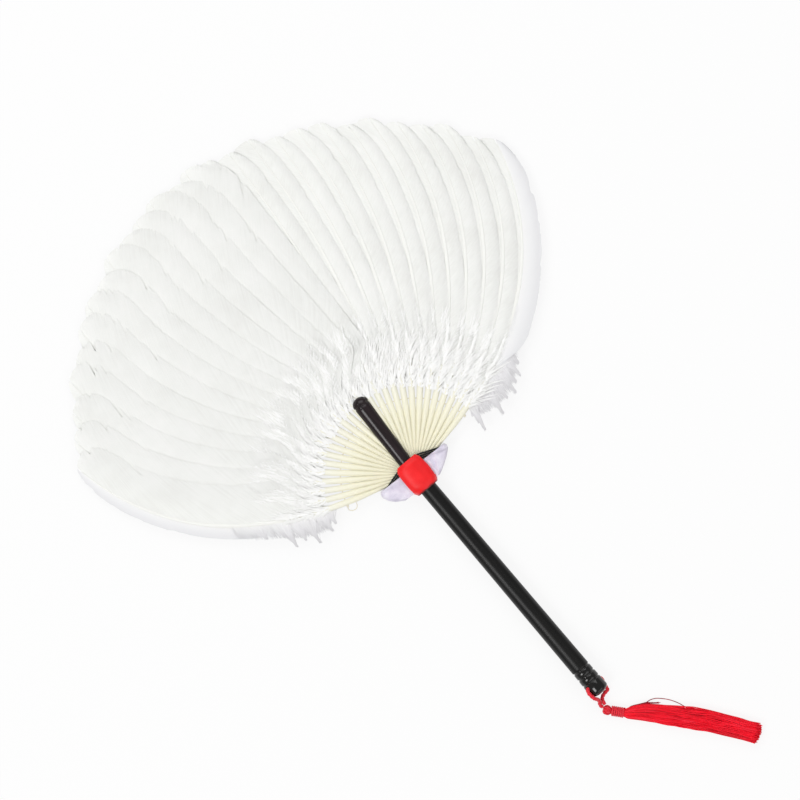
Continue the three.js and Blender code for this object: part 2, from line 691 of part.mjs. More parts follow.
add("tassel_cord", cordGeometry(), 0xc8142c, 0.6);
const knot = new THREE.SphereGeometry(KNOT_RADIUS, 14, 10);
add("tassel_knot", knot.translate(...KNOT_CENTRE.toArray()), 0xc8142c, 0.6);
const winding = windingPath();
add("tassel_winding", tube(winding.centres, WINDING_DIAMETER / 2, 6), 0xb01026, 0.5);
add("tassel_skirt", skirtGeometry(), 0xc8142c, 0.7);

// The part's origin is the middle of the fan's footprint, on the surface that it lies on
const middle = fixedSize.getCenter(new THREE.Vector3());
const shift = new THREE.Vector3(-middle.x, -middle.y, -fixedSize.min.z);
fan.children.forEach((mesh) => mesh.geometry.translate(shift.x, shift.y, shift.z));

const spoken = (value) => value.toFixed(3);
console.log(`pivot at ${shift.toArray().map(spoken).join(", ")}`);
const bindingGap = leastTurnGap(binding.centres, BINDING_DIAMETER, binding.pointsPerTurn);
const windingGap = leastTurnGap(winding.centres, WINDING_DIAMETER, winding.pointsPerTurn);
console.log(`binding turns: least gap ${spoken(bindingGap)}`);
console.log(`tassel winding turns: least gap ${spoken(windingGap)}`);

export default fan;
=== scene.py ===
# A fixed hand fan of white goose feathers on a black lacquered handle, with ribbon, satin and a tassel.
# Lengths are in millimetres in the handle's frame and become metres in the part's frame in place().
# Angles are in radians.
import math

import bpy
import numpy as np
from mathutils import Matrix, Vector


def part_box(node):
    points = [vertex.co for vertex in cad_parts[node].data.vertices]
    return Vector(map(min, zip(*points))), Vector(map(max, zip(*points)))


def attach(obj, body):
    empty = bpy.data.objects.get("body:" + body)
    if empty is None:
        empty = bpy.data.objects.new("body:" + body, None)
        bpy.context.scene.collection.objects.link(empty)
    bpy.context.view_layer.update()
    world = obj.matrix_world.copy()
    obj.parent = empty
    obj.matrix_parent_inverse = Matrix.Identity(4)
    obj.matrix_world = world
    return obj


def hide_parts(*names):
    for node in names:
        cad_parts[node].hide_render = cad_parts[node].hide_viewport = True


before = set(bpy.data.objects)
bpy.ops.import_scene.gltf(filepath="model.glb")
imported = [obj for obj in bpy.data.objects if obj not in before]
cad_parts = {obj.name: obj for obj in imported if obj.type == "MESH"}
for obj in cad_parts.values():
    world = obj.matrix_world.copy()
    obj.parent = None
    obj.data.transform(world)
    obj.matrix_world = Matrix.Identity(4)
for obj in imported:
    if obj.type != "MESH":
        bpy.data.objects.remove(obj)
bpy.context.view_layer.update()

MM = 0.001
RADIAN = math.pi / 180
FULL_TURN = 2 * math.pi
UP = np.array([0.0, 0.0, 1.0])
RIGHT = np.array([1.0, 0.0, 0.0])

# Handle
HANDLE_BELOW = 201
HANDLE_ABOVE = 67.5
HANDLE_SIDES = 64
HANDLE_RIM_ANGLE = 40 * RADIAN
STUB_TOP_RADIUS = 6.4
STUB_RADIUS = 5.4
GRIP_RADIUS = 6.15
END_RADIUS = 6.9
CAP_RADIUS = 7.4
CAP_LENGTH = 11.4
END_ROUND = 3.4
RING_PITCH = 5.3
RING_DEPTH = 0.6
RING_HALF = 0.9
STUB_ROOT = 4
STUB_RING_DROP = 6.4
STUB_ROUND = 5.4
STUB_SHIFT = -1
SLOT_BELOW = 10
CUT_REACH = 20
CORD_HOLE_UP = 8.8
CORD_HOLE = 3.4
CORD_HOLE_ROLL = 40 * RADIAN

# Feathers
GAP = 0.3
QUILL_GAP = 0.08
FEATHER_PAIRS = 13
FAN_LEAN = 2.6 * RADIAN
QUILL_SPREAD = 75 * RADIAN
TIP_SPREAD_LOSS = 23 * RADIAN
CURL_START = 40
CURL_END = 235
CURL_POWER = 1.7
FEATHER_REACH = 266
LEFT_SHORTER = 30
RIGHT_SHORTER = 26
LEFT_FALL = 2.4
RIGHT_FALL = 1
LENGTH_RIPPLE = 2.2
BUTT_START = 11
BUTT_HALF_HEIGHT = 0.9
BUTT_END = 20
QUILL_ROUND_FROM = 36
QUILL_RADIUS = 2.2
TIP_SHAFT_RADIUS = 0.5
TAPER_END = FEATHER_REACH + 20
TAPER_POWER = 0.8
VANE_START = 58
VANE_NARROW = 11
VANE_BROAD = 29
FREE_VANES = {1: 15, -1: 9}
TIP_ROUND = 30
TIP_ONSET = 2.2
TIP_BLUNT = 0.45
SHINGLE_RISE = 28
TIP_LIFT = 0.5
TIP_CLEAR = 0.25
TIP_ROLL = 0.005
FLOOR_HEIGHT = -9.4
FEATHER_STEP = QUILL_SPREAD / FEATHER_PAIRS
CURL = TIP_SPREAD_LOSS / QUILL_SPREAD

# Spans of soft steps, from the start of a vane
LAP_SPAN = (0, 8)
LEVEL_SPAN = (8, 24)
ROOM_SPAN = (0, 20)
COVER_SPAN = (12, 46)
FREE_SPAN = (22, 68)
FLAT_SPAN = (10, 50)
FALL_SPAN = (10, 34)
LEAN_SPAN = (0, 70)

# Barbs of a vane
BARB_PITCH = 1.6
BARB_STEPS = 11
BARB_RELIEF = 0.09
BARB_LEAN_BASE = 0.25
BARB_LEAN_TIP = 1.1
BARB_CURVE = 0.01
SHORTEST_BARB = 0.25
EDGE_THICKNESS = 0.14
EDGE_FALL_POWER = 2.6
EDGE_CLOSING = 0.88
EDGE_RAGGED = 0.03
EDGE_NICKS = 5
NICK_DEPTHS = (0.03, 0.11)
NICK_ROWS = 3.0
MIDDLE_SETTLE = 1.65
TIP_REST = 0.4
ROOT_THICKNESS = 0.36
SHAFT_FLAT = 0.5
SHAFT_CLEAR = 0.2
SHAFT_SPAN = 1.4
SHAFT_SIDES = 14
SHAFT_POINT = 16
BARE_QUILL = 4.5
BARE_LEFT_QUILL = 8

# Wrapped pieces
BAND_TOP = 10.5
BAND_BOTTOM = -13.2
BAND_HALF_WIDTH = 11
BAND_HALF_HEIGHT = 9.9
BAND_RING = 2.0
BAND_SQUARENESS = 2.6
BAND_LIFT = 0.05
BAND_BARREL = 0.08
BAND_ROWS = 32
BAND_SIDES = 180
BAND_LINING = 0.9
RIBBON_THICKNESS = 0.6
RIBBON_TOP = 5
RIBBON_BOTTOM = -10.3
RIBBON_FOLD = 3.2
RIBBON_ROWS = 28
DRAPE_FOOT = 14
HANDLE_CLEAR = 0.5
QUILL_PILE = 1.42
BINDING_DIAMETER = 1.05
BINDING_TURNS = 3
BINDING_PITCH = 1.5
BINDING_TOP = 10.3
BINDING_HALF_WIDTH = 24.8
BINDING_END_STEP = 2.4
BINDING_SLOPE = 0.36
BINDING_SLOPE_FROM = 9
BINDING_STEPS = 460
THREAD_DIAMETER = 0.9
THREAD_RADIUS = 53
THREAD_STEPS = 160
THREAD_KNOT = 2.2
THREAD_KNOT_TURNS = 2.6
THREAD_KNOT_COIL = 0.62
THREAD_KNOT_STEPS = 70

# Tassel
CORD_DIAMETER = 2.2
LOOP_STEPS = 220
KNOT_RADIUS = 3.7
KNOT_BELOW = 12.4
KNOT_LEFT = 4.7
KNOT_ROUNDS = 3
KNOT_WAVES = 7
KNOT_STEPS = 420
TASSEL_TURN = 41 * RADIAN
NECK_RADIUS = 2.3
WINDING_DIAMETER = 1.0
WINDING_TURNS = 5
WINDING_PITCH = 1.45
WINDING_STEPS = 300
SKIRT_LENGTH = 107.5
SKIRT_HALF_WIDTH = 8
SKIRT_HALF_HEIGHT = 4.2
SKIRT_BOW = 4.2
SKIRT_STRANDS = 300
SKIRT_STEPS = 34
STRAND_RADIUS = 0.36
STRAND_SIDES = 5
LOOSE_RADIUS = 0.3
LOOSE_SIDES = 6
LOOSE_STEPS = 60
FRAY_RADII = (0.32, 0.16)
FRAY_STARTS = (15, 26)
FRAY_LENGTHS = (8, 15)
FRAY_STAND = (0.2, 1.3)
GOLDEN_TURN = 2.39996

# Radius, sides, length of one lay and depth of the grooves of each cord
BINDING_CORD = (0.7, 10, 4.2, 0.24)
THREAD_CORD = (THREAD_DIAMETER / 2, 8, 2.6, 0.25)
THREAD_KNOT_CORD = (0.38, 7, 2.2, 0.2)
THREAD_TAIL_CORD = (0.34, 7, 2.2, 0.2)
LOOP_CORD = (1.45, 14, 5.2, 0.24)
KNOT_CORD = (0.58, 9, 3.0, 0.2)
WINDING_CORD = (0.74, 10, 2.6, 0.16)

# The point on the handle's axis where the quills meet, in the part's frame
handle_low, handle_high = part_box("handle")
band_low, band_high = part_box("red_band")
PIVOT = np.array(
    [
        (band_low.x + band_high.x) / 2,
        band_low.y - BAND_BOTTOM * MM,
        (handle_low.z + handle_high.z) / 2,
    ]
)


def place(points, leaning=False):
    points = np.asarray(points, float)
    if leaning:
        cosine = math.cos(FAN_LEAN)
        sine = math.sin(FAN_LEAN)
        points = points @ np.array([[cosine, -sine, 0], [sine, cosine, 0], [0, 0, 1]])
    return points * MM + PIVOT


def smooth(low, high, value):
    share = np.clip((np.asarray(value, float) - low) / (high - low), 0, 1)
    return share * share * (3 - 2 * share)


def mix(low, high, share):
    return low + (high - low) * share


def bell(offset, width):
    """One at no offset, falling to nothing on both sides."""
    return np.exp(-((offset / width) ** 2))


def ripples(along, *waves):
    """Sum of waves along a length, each with its height, its length per radian and its phase."""
    return sum(height * np.sin(along / length + phase) for height, length, phase in waves)


def shares(count):
    """A row of even shares from 0 to 1."""
    return np.linspace(0, 1, count)[None, :]


def stacked(*parts):
    """Points or marks from their coordinates, each a number, a row, a column or a grid."""
    return np.stack(np.broadcast_arrays(*parts), axis=-1)


# Meshes
RIM_ANGLE = 60 * RADIAN
TINY = 1e-9
STRAND_LEAN = np.array([0.13, 0.21, 0.97])
PATH_SAMPLES = 24
PHASE_RANGE = 6.28


def add_object(name, data):
    made = bpy.data.objects.new(name, data)
    bpy.context.scene.collection.objects.link(made)
    return made


class Skin:
    """Points and faces of one piece, with a material for each face and two marks for each point."""

    def __init__(self):
        self.points = []
        self.marks = []
        self.faces = []
        self.materials = []
        self.count = 0

    def add(self, points, faces, material=0, marks=None):
        points = np.asarray(points, float).reshape(-1, 3)
        if marks is None:
            marks = np.zeros((len(points), 2))
        self.points.append(points)
        self.marks.append(np.asarray(marks, float).reshape(-1, 2))
        self.faces.extend((np.asarray(face) + self.count).tolist() for face in faces)
        self.materials.extend([material] * len(faces))
        self.count += len(points)

    def piece(self, name, materials, leaning=False, sharp=False):
        mesh = bpy.data.meshes.new(name)
        points = place(np.concatenate(self.points), leaning)
        mesh.from_pydata(points.tolist(), [], self.faces)
        mesh.polygons.foreach_set("material_index", self.materials)
        mesh.shade_smooth()
        marks = np.concatenate(self.marks)
        for index, title in enumerate(("along", "across")):
            layer = mesh.attributes.new(title, "FLOAT", "POINT")
            layer.data.foreach_set("value", np.ascontiguousarray(marks[:, index], dtype=np.float32))
        mesh.validate()
        mesh.update()
        if sharp:
            mesh.set_sharp_from_angle(angle=RIM_ANGLE)
        for material in materials:
            mesh.materials.append(material)
        return add_object(name, mesh)


def around(sides):
    return np.linspace(0, FULL_TURN, sides, endpoint=False)


def column(chance, low, high, count):
    """A column of even random draws."""
    return chance.uniform(low, high, count)[:, None]


def scatter(chance, spread, count):
    """A column of random draws around zero."""
    return chance.normal(0, spread, count)[:, None]


def unit(vectors):
    return vectors / (np.linalg.norm(vectors, axis=-1, keepdims=True) + TINY)


def ring_faces(rings, sides):
    """Faces between rings of points, and the numbers of the first and the last ring's points."""
    index = np.arange(rings * sides).reshape(rings, sides)
    after = np.roll(index, -1, axis=1)
    corners = [index[:-1], after[:-1], after[1:], index[1:]]
    return np.stack([corner.ravel() for corner in corners], axis=1), index[0], index[-1]


def inside_out(points, faces):
    """Whether faces of four corners look inwards, told by the sign of the volume that they close."""
    middle = points.mean(axis=0)
    a, b, c, d = (points[faces[:, corner]] - middle for corner in range(4))
    return np.einsum("ij,ij->", a, np.cross(b, c) + np.cross(c, d)) < 0


def add_sheet(skin, outer, inner, keep, marks, material=0):
    """A thin closed sheet between two grids of points in rings; keep says which cells have cloth."""
    rows, columns = outer.shape[:2]
    size = rows * columns
    cells = ring_faces(rows, columns)[0][keep[:-1].ravel()]
    start = cells.ravel()
    end = np.roll(cells, -1, axis=1).ravel()
    rim = ~np.isin(start * size + end, end * size + start)
    wall = np.stack([start, start + size, end + size, end], axis=1)[rim]
    used, numbers = np.unique(np.concatenate([cells, cells[:, ::-1] + size, wall]), return_inverse=True)
    faces = numbers.reshape(-1, 4)
    points = np.concatenate([outer.reshape(-1, 3), inner.reshape(-1, 3)])[used]
    if inside_out(points, faces):
        faces = faces[:, ::-1]
    skin.add(points, faces, material, np.concatenate([marks.reshape(-1, 2)] * 2)[used])


def loops_skin(rings):
    """Points and faces of a closed tube over rings of points, each end closed by one face."""
    rings = np.asarray(rings, float)
    points = rings.reshape(-1, 3)
    walls, first, last = ring_faces(*rings.shape[:2])
    faces = [*walls.tolist(), first[::-1].tolist(), last.tolist()]
    if inside_out(points, walls):
        faces = [face[::-1] for face in faces]
    return points, faces


def travel_along(path, power=1.0):
    """Distance from the start of a path at each of its points, or the sum of a power of its steps."""
    steps = np.linalg.norm(np.diff(path, axis=0), axis=1) ** power
    return np.concatenate([[0], np.cumsum(steps)])


def frames_along(path):
    """Two directions square to a path at each of its points, carried along without twist."""
    along = unit(np.gradient(path, axis=0))
    start = UP if abs(along[0][2]) < 0.9 else RIGHT
    across = np.zeros_like(path)
    for step, direction in enumerate(along):
        start = unit(start - direction * start.dot(direction))
        across[step] = start
    return across, np.cross(along, across)


def add_tube(skin, path, cord):
    """A cord of two twisted plies along a path: its lobes turn once in each lay."""
    radius, sides, lay, depth = cord
    across, upright = frames_along(path)
    travel = travel_along(path)[:, None]
    turn = around(sides)[None, :]
    size = radius * (1 - depth * (1 - np.abs(np.cos(turn - FULL_TURN * travel / lay))))
    round_x = (size * np.cos(turn))[..., None] * across[:, None, :]
    round_y = (size * np.sin(turn))[..., None] * upright[:, None, :]
    points, faces = loops_skin(path[:, None, :] + round_x + round_y)
    skin.add(points, faces, 0, stacked(travel, turn))


def tube_piece(name, material, path, cord, leaning=False):
    skin = Skin()
    add_tube(skin, path, cord)
    return skin.piece(name, [material], leaning)


def add_strands(skin, centres, radii, sides, material=0, flat=1.0):
    """Many thin strands at once: centres has the shape (strands, steps, 3), and flat is height over width."""
    strands, steps = centres.shape[:2]
    along = unit(np.gradient(centres, axis=1))
    across = unit(np.cross(along, STRAND_LEAN))
    upright = np.cross(across, along)
    turn = around(sides)[:, None]
    size = np.broadcast_to(radii, (strands, steps))[..., None, None]
    rings = centres[:, :, None, :] + size * (
        np.cos(turn) * across[:, :, None, :] + flat * np.sin(turn) * upright[:, :, None, :]
    )
    walls, first, last = ring_faces(steps, sides)
    order = np.arange(strands)
    offsets = (order * steps * sides)[:, None, None]
    sheets = (walls[:, [0, 3, 2, 1]] + offsets).reshape(-1, 4).tolist()
    ends = (np.stack([first, last[::-1]]) + offsets).reshape(-1, sides).tolist()
    marks = stacked(order[:, None], shares(steps)).reshape(-1, 2)
    skin.add(rings, sheets + ends, material, np.repeat(marks, sides, axis=0))


def between(now, start, end, first, last):
    return (end - now) / (end - start) * first + (now - start) / (end - start) * last


def smooth_path(points, steps):
    """Centripetal curve through the points, sampled evenly along its length."""
    points = np.asarray(points, float)
    padded = np.concatenate([[2 * points[0] - points[1]], points, [2 * points[-1] - points[-2]]])
    samples = []
    for start in range(len(points) - 1):
        four = padded[start : start + 4]
        time = travel_along(four, 0.5)
        for now in np.linspace(time[1], time[2], PATH_SAMPLES, endpoint=False):
            three = [between(now, time[i], time[i + 1], four[i], four[i + 1]) for i in range(3)]
            two = [between(now, time[i], time[i + 2], three[i], three[i + 1]) for i in range(2)]
            samples.append(between(now, time[1], time[2], *two))
    samples = np.array([*samples, points[-1]])
    travel = travel_along(samples)
    even = np.linspace(0, travel[-1], steps)
    return stacked(*(np.interp(even, travel, values) for values in samples.T))


# Materials
# Rows at the bottom of the red band over which a painted shade darkens its lower lip
PAINTED_SHADE_ROWS = 2.6


def linear(red, green, blue):
    """A colour written as it looks on a screen, from 0 to 255, for a shader."""
    shares = [value / 255 for value in (red, green, blue)]
    return (*[share / 12.92 if share <= 0.04045 else ((share + 0.055) / 1.055) ** 2.4 for share in shares], 1)


class Look:
    """A material and the nodes that are added to it."""

    def __init__(self, name, roughness, **sockets):
        self.material = bpy.data.materials.new(name)
        self.material.use_nodes = True
        self.tree = self.material.node_tree
        self.shader = self.tree.nodes["Principled BSDF"]
        self.fill(self.shader, Roughness=roughness, **sockets)

    def put(self, socket, value):
        if isinstance(value, bpy.types.NodeSocket):
            self.tree.links.new(value, socket)
        else:
            socket.default_value = value

    def fill(self, node, **inputs):
        for title, value in inputs.items():
            self.put(node.inputs[title.replace("_", " ")], value)
        return node

    def node(self, kind, **inputs):
        return self.fill(self.tree.nodes.new(kind), **inputs)

    def maths(self, operation, first, second):
        made = self.tree.nodes.new("ShaderNodeMath")
        made.operation = operation
        self.put(made.inputs[0], first)
        self.put(made.inputs[1], second)
        return made.outputs["Value"]

    def blend(self, first, first_share, second, second_share):
        first_part = self.maths("MULTIPLY", first, first_share)
        return self.maths("ADD", first_part, self.maths("MULTIPLY", second, second_share))

    def mark(self, title):
        made = self.tree.nodes.new("ShaderNodeAttribute")
        made.attribute_name = title
        return made.outputs["Fac"]

    def noise(self, vector, scale, detail, roughness):
        made = self.node("ShaderNodeTexNoise", Vector=vector, Scale=scale, Detail=detail, Roughness=roughness)
        return made.outputs["Fac"]

    def fibres(self, along, across, detail, roughness=0.5):
        """Noise that follows the marks of a piece."""
        x = self.maths("MULTIPLY", self.mark("along"), along)
        y = self.maths("MULTIPLY", self.mark("across"), across)
        vector = self.node("ShaderNodeCombineXYZ", X=x, Y=y).outputs["Vector"]
        return self.noise(vector, 1.0, detail, roughness)

    def clouds(self, scale, detail, roughness=0.5, stretch=(1.0, 1.0, 1.0)):
        """Noise in the piece's own space."""
        spot = self.node("ShaderNodeTexCoord").outputs["Object"]
        vector = self.node("ShaderNodeMapping", Vector=spot, Scale=stretch).outputs["Vector"]
        return self.noise(vector, scale, detail, roughness)

    def spread(self, value, top, low, high):
        """Carry a value from the range 0 to top over to the range low to high."""
        made = self.node("ShaderNodeMapRange", Value=value, From_Max=top, To_Min=low, To_Max=high)
        return made.outputs["Result"]

    def colour(self, value, *stops):
        made = self.node("ShaderNodeValToRGB", Fac=value)
        elements = made.color_ramp.elements
        while len(elements) < len(stops):
            elements.new(0.5)
        for element, (position, tone) in zip(elements, stops):
            element.position = position
            element.color = linear(*tone)
        self.fill(self.shader, Base_Color=made.outputs["Color"])

    def rough(self, value, low, high):
        self.fill(self.shader, Roughness=self.spread(value, 1.0, low, high))

    def bump(self, height, strength, distance=0.0002):
        made = self.node("ShaderNodeBump", Height=height, Strength=strength, Distance=distance)
        self.fill(self.shader, Normal=made.outputs["Normal"])


def vane_look():
    look = Look("feather_vane", 0.72, Sheen_Weight=0.1, Sheen_Roughness=0.5, Specular_IOR_Level=0.25)
    look.fill(look.shader, Subsurface_Weight=0.5, Subsurface_Radius=(1.0, 1.0, 1.0), Subsurface_Scale=0.0004)
    streak = look.fibres(0.9, 1.6, 4.0, 0.6)
    shade = look.blend(streak, 0.5, look.clouds(34.0, 3.0, 0.55), 0.5)
    look.colour(shade, (0.3, (233, 233, 229)), (0.5, (242, 243, 239)), (0.7, (248, 248, 245)))
    look.rough(streak, 0.62, 0.85)
    look.bump(look.fibres(3.2, 3.0, 3.0), 0.25)
    return look.material


def horn_look():
    """Horn that is cream at the bare quill and turns white towards the tip."""
    look = Look("feather_shaft", 0.38, Specular_IOR_Level=0.4)
    grain = look.fibres(0.06, 2.5, 4.0)
    shade = look.blend(look.mark("along"), 0.006, grain, 0.1)
    look.colour(
        shade,
        (0.12, (240, 235, 206)),
        (0.34, (245, 242, 220)),
        (0.5, (244, 243, 233)),
        (0.68, (243, 243, 239)),
    )
    look.rough(grain, 0.3, 0.5)
    look.bump(grain, 0.2)
    return look.material


def down_look():
    look = Look("feather_down", 0.85, Specular_IOR_Level=0.1)
    look.colour(look.clouds(260.0, 2.0), (0.3, (248, 248, 246)), (0.7, (254, 254, 253)))
    return look.material


# Greys that darken from the root of each strand to its tip, and from the shaft to the edge of a free vane:
# painted shade on white down.
def tuft_look(name, near, middle, far):
    look = Look(name, 0.85, Specular_IOR_Level=0.1)
    shade = look.blend(look.mark("across"), 0.7, look.fibres(5.7, 2.0, 2.0), 0.3)
    look.colour(shade, (0.1, near), (0.45, middle), (0.9, far))
    return look.material


def lacquer_look(name, dark, middle, light, smoothest, roughest, gloss, peel=None):
    look = Look(name, roughest, Specular_IOR_Level=gloss)
    grain = look.clouds(420.0, 4.0, 0.6, stretch=(1.0, 0.08, 1.0))
    look.colour(grain, (0.3, dark), (0.62, middle), (0.8, light))
    look.rough(grain, smoothest, roughest)
    if peel is not None:
        look.bump(look.clouds(500.0, 2.0), peel)
    return look.material


def satin_look(name, dark, middle, light, roughness, hem_and_painted_shade=None):
    look = Look(name, roughness, Sheen_Weight=0.35, Sheen_Roughness=0.35, Specular_IOR_Level=0.4)
    look.fill(look.shader, Anisotropic=0.4)
    thread = look.fibres(0.5, 9.0, 2.0)
    shade = look.blend(look.clouds(140.0, 3.0), 0.65, thread, 0.35)
    stops = [(0.32, dark), (0.5, middle), (0.68, light)]
    # The optional dark tone at the lowest rows is painted shade under the band's lower lip.
    if hem_and_painted_shade is not None:
        shade = look.maths("ADD", shade, look.spread(look.mark("across"), PAINTED_SHADE_ROWS, -0.5, 0.0))
        stops = [(0.05, hem_and_painted_shade), *stops]
    look.colour(shade, *stops)
    look.rough(thread, roughness - 0.06, roughness + 0.12)
    look.bump(thread, 0.12)
    return look.material


def cord_look(name, dark, middle, light, roughness):
    look = Look(name, roughness, Sheen_Weight=0.3, Sheen_Roughness=0.4, Specular_IOR_Level=0.35)
    fibre = look.fibres(2.24, 3.84, 4.0, 0.6)
    look.colour(fibre, (0.3, dark), (0.5, middle), (0.7, light))
    look.rough(fibre, roughness - 0.1, roughness + 0.15)
    look.bump(fibre, 0.3, 0.0003)
    return look.material


def strand_look(name, dark, middle, light):
    look = Look(name, 0.5, Specular_IOR_Level=0.25)
    each = look.fibres(7.3, 3.0, 2.0)
    look.colour(each, (0.3, dark), (0.5, middle), (0.72, light))
    look.rough(each, 0.36, 0.6)
    return look.material


BLACKS = ((4, 4, 4), (10, 9, 8), (20, 17, 16))
LACQUER_PEEL = 0.006
VANE = vane_look()
HORN = horn_look()
DOWN = down_look()
# The tuft and the free vane are white down; their greys are painted shade.
TUFT = tuft_look("feather_tuft", (246, 246, 245), (234, 233, 235), (215, 214, 216))
FREE_VANE = tuft_look("free_vane", (243, 243, 242), (237, 237, 238), (227, 227, 229))
LACQUER = lacquer_look("black_lacquer", *BLACKS, 0.36, 0.4, 0.3, LACQUER_PEEL)
RING_LACQUER = lacquer_look("ring_lacquer", *BLACKS, 0.1, 0.13, 0.5, LACQUER_PEEL)
STUB_LACQUER = lacquer_look("dark_lacquer", (24, 16, 18), (36, 26, 29), (50, 37, 38), 0.2, 0.24, 0.36)
# The dark tone at the band's lowest rows is painted shade of its lower lip.
RED_SATIN = satin_look("red_satin", (232, 12, 18), (244, 16, 22), (250, 30, 34), 0.42, hem_and_painted_shade=(70, 6, 10))
WHITE_SATIN = satin_look("white_satin", (196, 190, 208), (221, 215, 231), (242, 238, 248), 0.45)
BLACK_CORD = cord_look("black_cord", (14, 14, 15), (30, 31, 30), (56, 58, 54), 0.7)
PALE_THREAD = cord_look("pale_thread", (214, 206, 180), (232, 226, 206), (245, 241, 228), 0.7)
RED_CORD = cord_look("red_cord", (184, 8, 28), (230, 18, 44), (246, 70, 86), 0.4)
RED_THREAD = strand_look("red_thread", (196, 2, 24), (250, 10, 40), (255, 44, 66))
DARK_RED_THREAD = strand_look("dark_red_thread", (120, 8, 24), (156, 12, 34), (190, 20, 46))


def finish_piece(piece, body, node):
    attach(piece, body)
    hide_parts(node)


# Feathers
PLUME_LOOKS = [VANE, HORN, DOWN, TUFT, FREE_VANE]
ON_VANE, ON_HORN, ON_DOWN, ON_TUFT, ON_FREE_VANE = range(len(PLUME_LOOKS))
DOWN_SHARE = shares(8)
DOWN_RADII = mix(0.45, 0.06, DOWN_SHARE[0])
DOWN_FLAT = 0.16
WISP_SHARE = shares(9)
WISP_RADII = mix(0.42, 0.1, WISP_SHARE[0])
WISP_FLAT = 0.2
DOWN_SIDES = 4
# Roots along the vane, lengths, leans and bows of the down on the shaft and of the down on the edge
DOWN_ROOTS = (-1.0, 30)
DOWN_LENGTHS = (9, 20)
DOWN_LEANS = (0.05, 0.6)
DOWN_BOWS = (-0.25, 0.25)
EDGE_DOWN_ROOTS = (12, 52)
EDGE_DOWN_LENGTHS = (7, 16)
EDGE_DOWN_LEANS = (0.05, 0.55)


def vane_step(span, r):
    return smooth(VANE_START + span[0], VANE_START + span[1], r)


def curl(r):
    share = np.maximum(0, (r - CURL_START) / (CURL_END - CURL_START))
    return 1 - CURL * share**CURL_POWER


def on_spoke(r, heading, height):
    """A point at a distance from the pivot, in a direction that turns right from straight ahead."""
    return stacked(r * np.sin(heading), r * np.cos(heading), height)


def vane_share(r):
    return (r - VANE_START) / (FEATHER_REACH - VANE_START)


def quill_half_width(r):
    room = (r * FEATHER_STEP - QUILL_GAP) / 2
    taper = mix(QUILL_RADIUS, TIP_SHAFT_RADIUS, smooth(VANE_START, TAPER_END, r) ** TAPER_POWER)
    return np.minimum(room, taper)


def quill_half_height(r):
    butt = mix(BUTT_HALF_HEIGHT, QUILL_RADIUS, smooth(BUTT_END, QUILL_ROUND_FROM, r))
    return np.minimum(butt, mix(QUILL_RADIUS, TIP_SHAFT_RADIUS, np.clip(vane_share(r), 0, 1)))


def shaft_top(r):
    """Height of the front of a shaft over its vane; past the bare quill the front is flattened."""
    return quill_half_height(r) * mix(1.0, SHAFT_FLAT, vane_step(FLAT_SPAN, r))


def sheet_height(r, heading):
    along = np.maximum(0, vane_share(r))
    low_side = SHINGLE_RISE * VANE_BROAD / FEATHER_REACH
    droop = FLOOR_HEIGHT + TIP_LIFT + TIP_CLEAR + low_side
    return along**2 * (droop + TIP_ROLL * r * np.sin(heading))


def on_feather(angle, r, side, up, lap_share=1.0):
    """A point on a feather: r from the pivot, side to the right of its shaft and up from its vane."""
    turn = side / r
    heading = angle * curl(r) + turn
    level = quill_half_width(r) / r * (1 - vane_step(LEVEL_SPAN, r))
    tilted = turn - np.clip(turn, -level, level)
    lap = lap_share * SHINGLE_RISE * tilted * vane_step(LAP_SPAN, r)
    return on_spoke(r, heading, sheet_height(r, heading) + lap + up)


def feather_facts(order):
    rank = abs(order) / FEATHER_PAIRS
    broad_side = 1 if order <= 0 else -1
    shorter = LEFT_SHORTER * rank**LEFT_FALL if order <= 0 else RIGHT_SHORTER * rank**RIGHT_FALL
    return {
        "angle": order * FEATHER_STEP,
        "reach": FEATHER_REACH - shorter + LENGTH_RIPPLE * math.sin(2.4 * order + 0.7),
        "widths": {broad_side: VANE_BROAD, -broad_side: VANE_NARROW},
        "free": {1: order == FEATHER_PAIRS, -1: order == -FEATHER_PAIRS},
        "settle": MIDDLE_SETTLE if order == 0 else 1.0,
        "bare": BARE_QUILL * (1 - rank**2) + (BARE_LEFT_QUILL * rank**2 if order < 0 else 0.0),
    }


def open_width(r, full):
    """Width of one side of a vane below its tip: it fills the room between quills, then covers neighbours."""
    room = r * FEATHER_STEP * curl(r) - quill_half_width(r) - 2 * GAP
    base = np.minimum(full, room * vane_step(ROOM_SPAN, r))
    return mix(base, full, vane_step(COVER_SPAN, r))


def tip_rounding(r, reach):
    beyond = np.clip((r - (reach - TIP_ROUND)) / TIP_ROUND, 0, 1)
    return (1 - beyond**TIP_ONSET) ** TIP_BLUNT


def vane_width(r, reach, full, free):
    width = full * vane_step(FREE_SPAN, r) if free else open_width(r, full)
    return width * tip_rounding(r, reach)


def barb_run(root, lateral):
    """How far towards the tip a barb has run at a distance from the shaft; it runs less near the base."""
    lean = vane_step(LEAN_SPAN, root)
    return mix(BARB_LEAN_BASE, BARB_LEAN_TIP, lean) * lateral + BARB_CURVE * lean * lateral**2


def barb_lengths(root, reach, full, free):
    """Lengths at which the barbs meet the edge of the vane, found by halving."""
    short = np.zeros_like(root)
    long = np.full_like(root, full + 2.0)
    for _ in range(30):
        middle = (short + long) / 2
        inside = vane_width(np.minimum(root + barb_run(root, middle), reach), reach, full, free) > middle
        short = np.where(inside, middle, short)
        long = np.where(inside, long, middle)
    return short


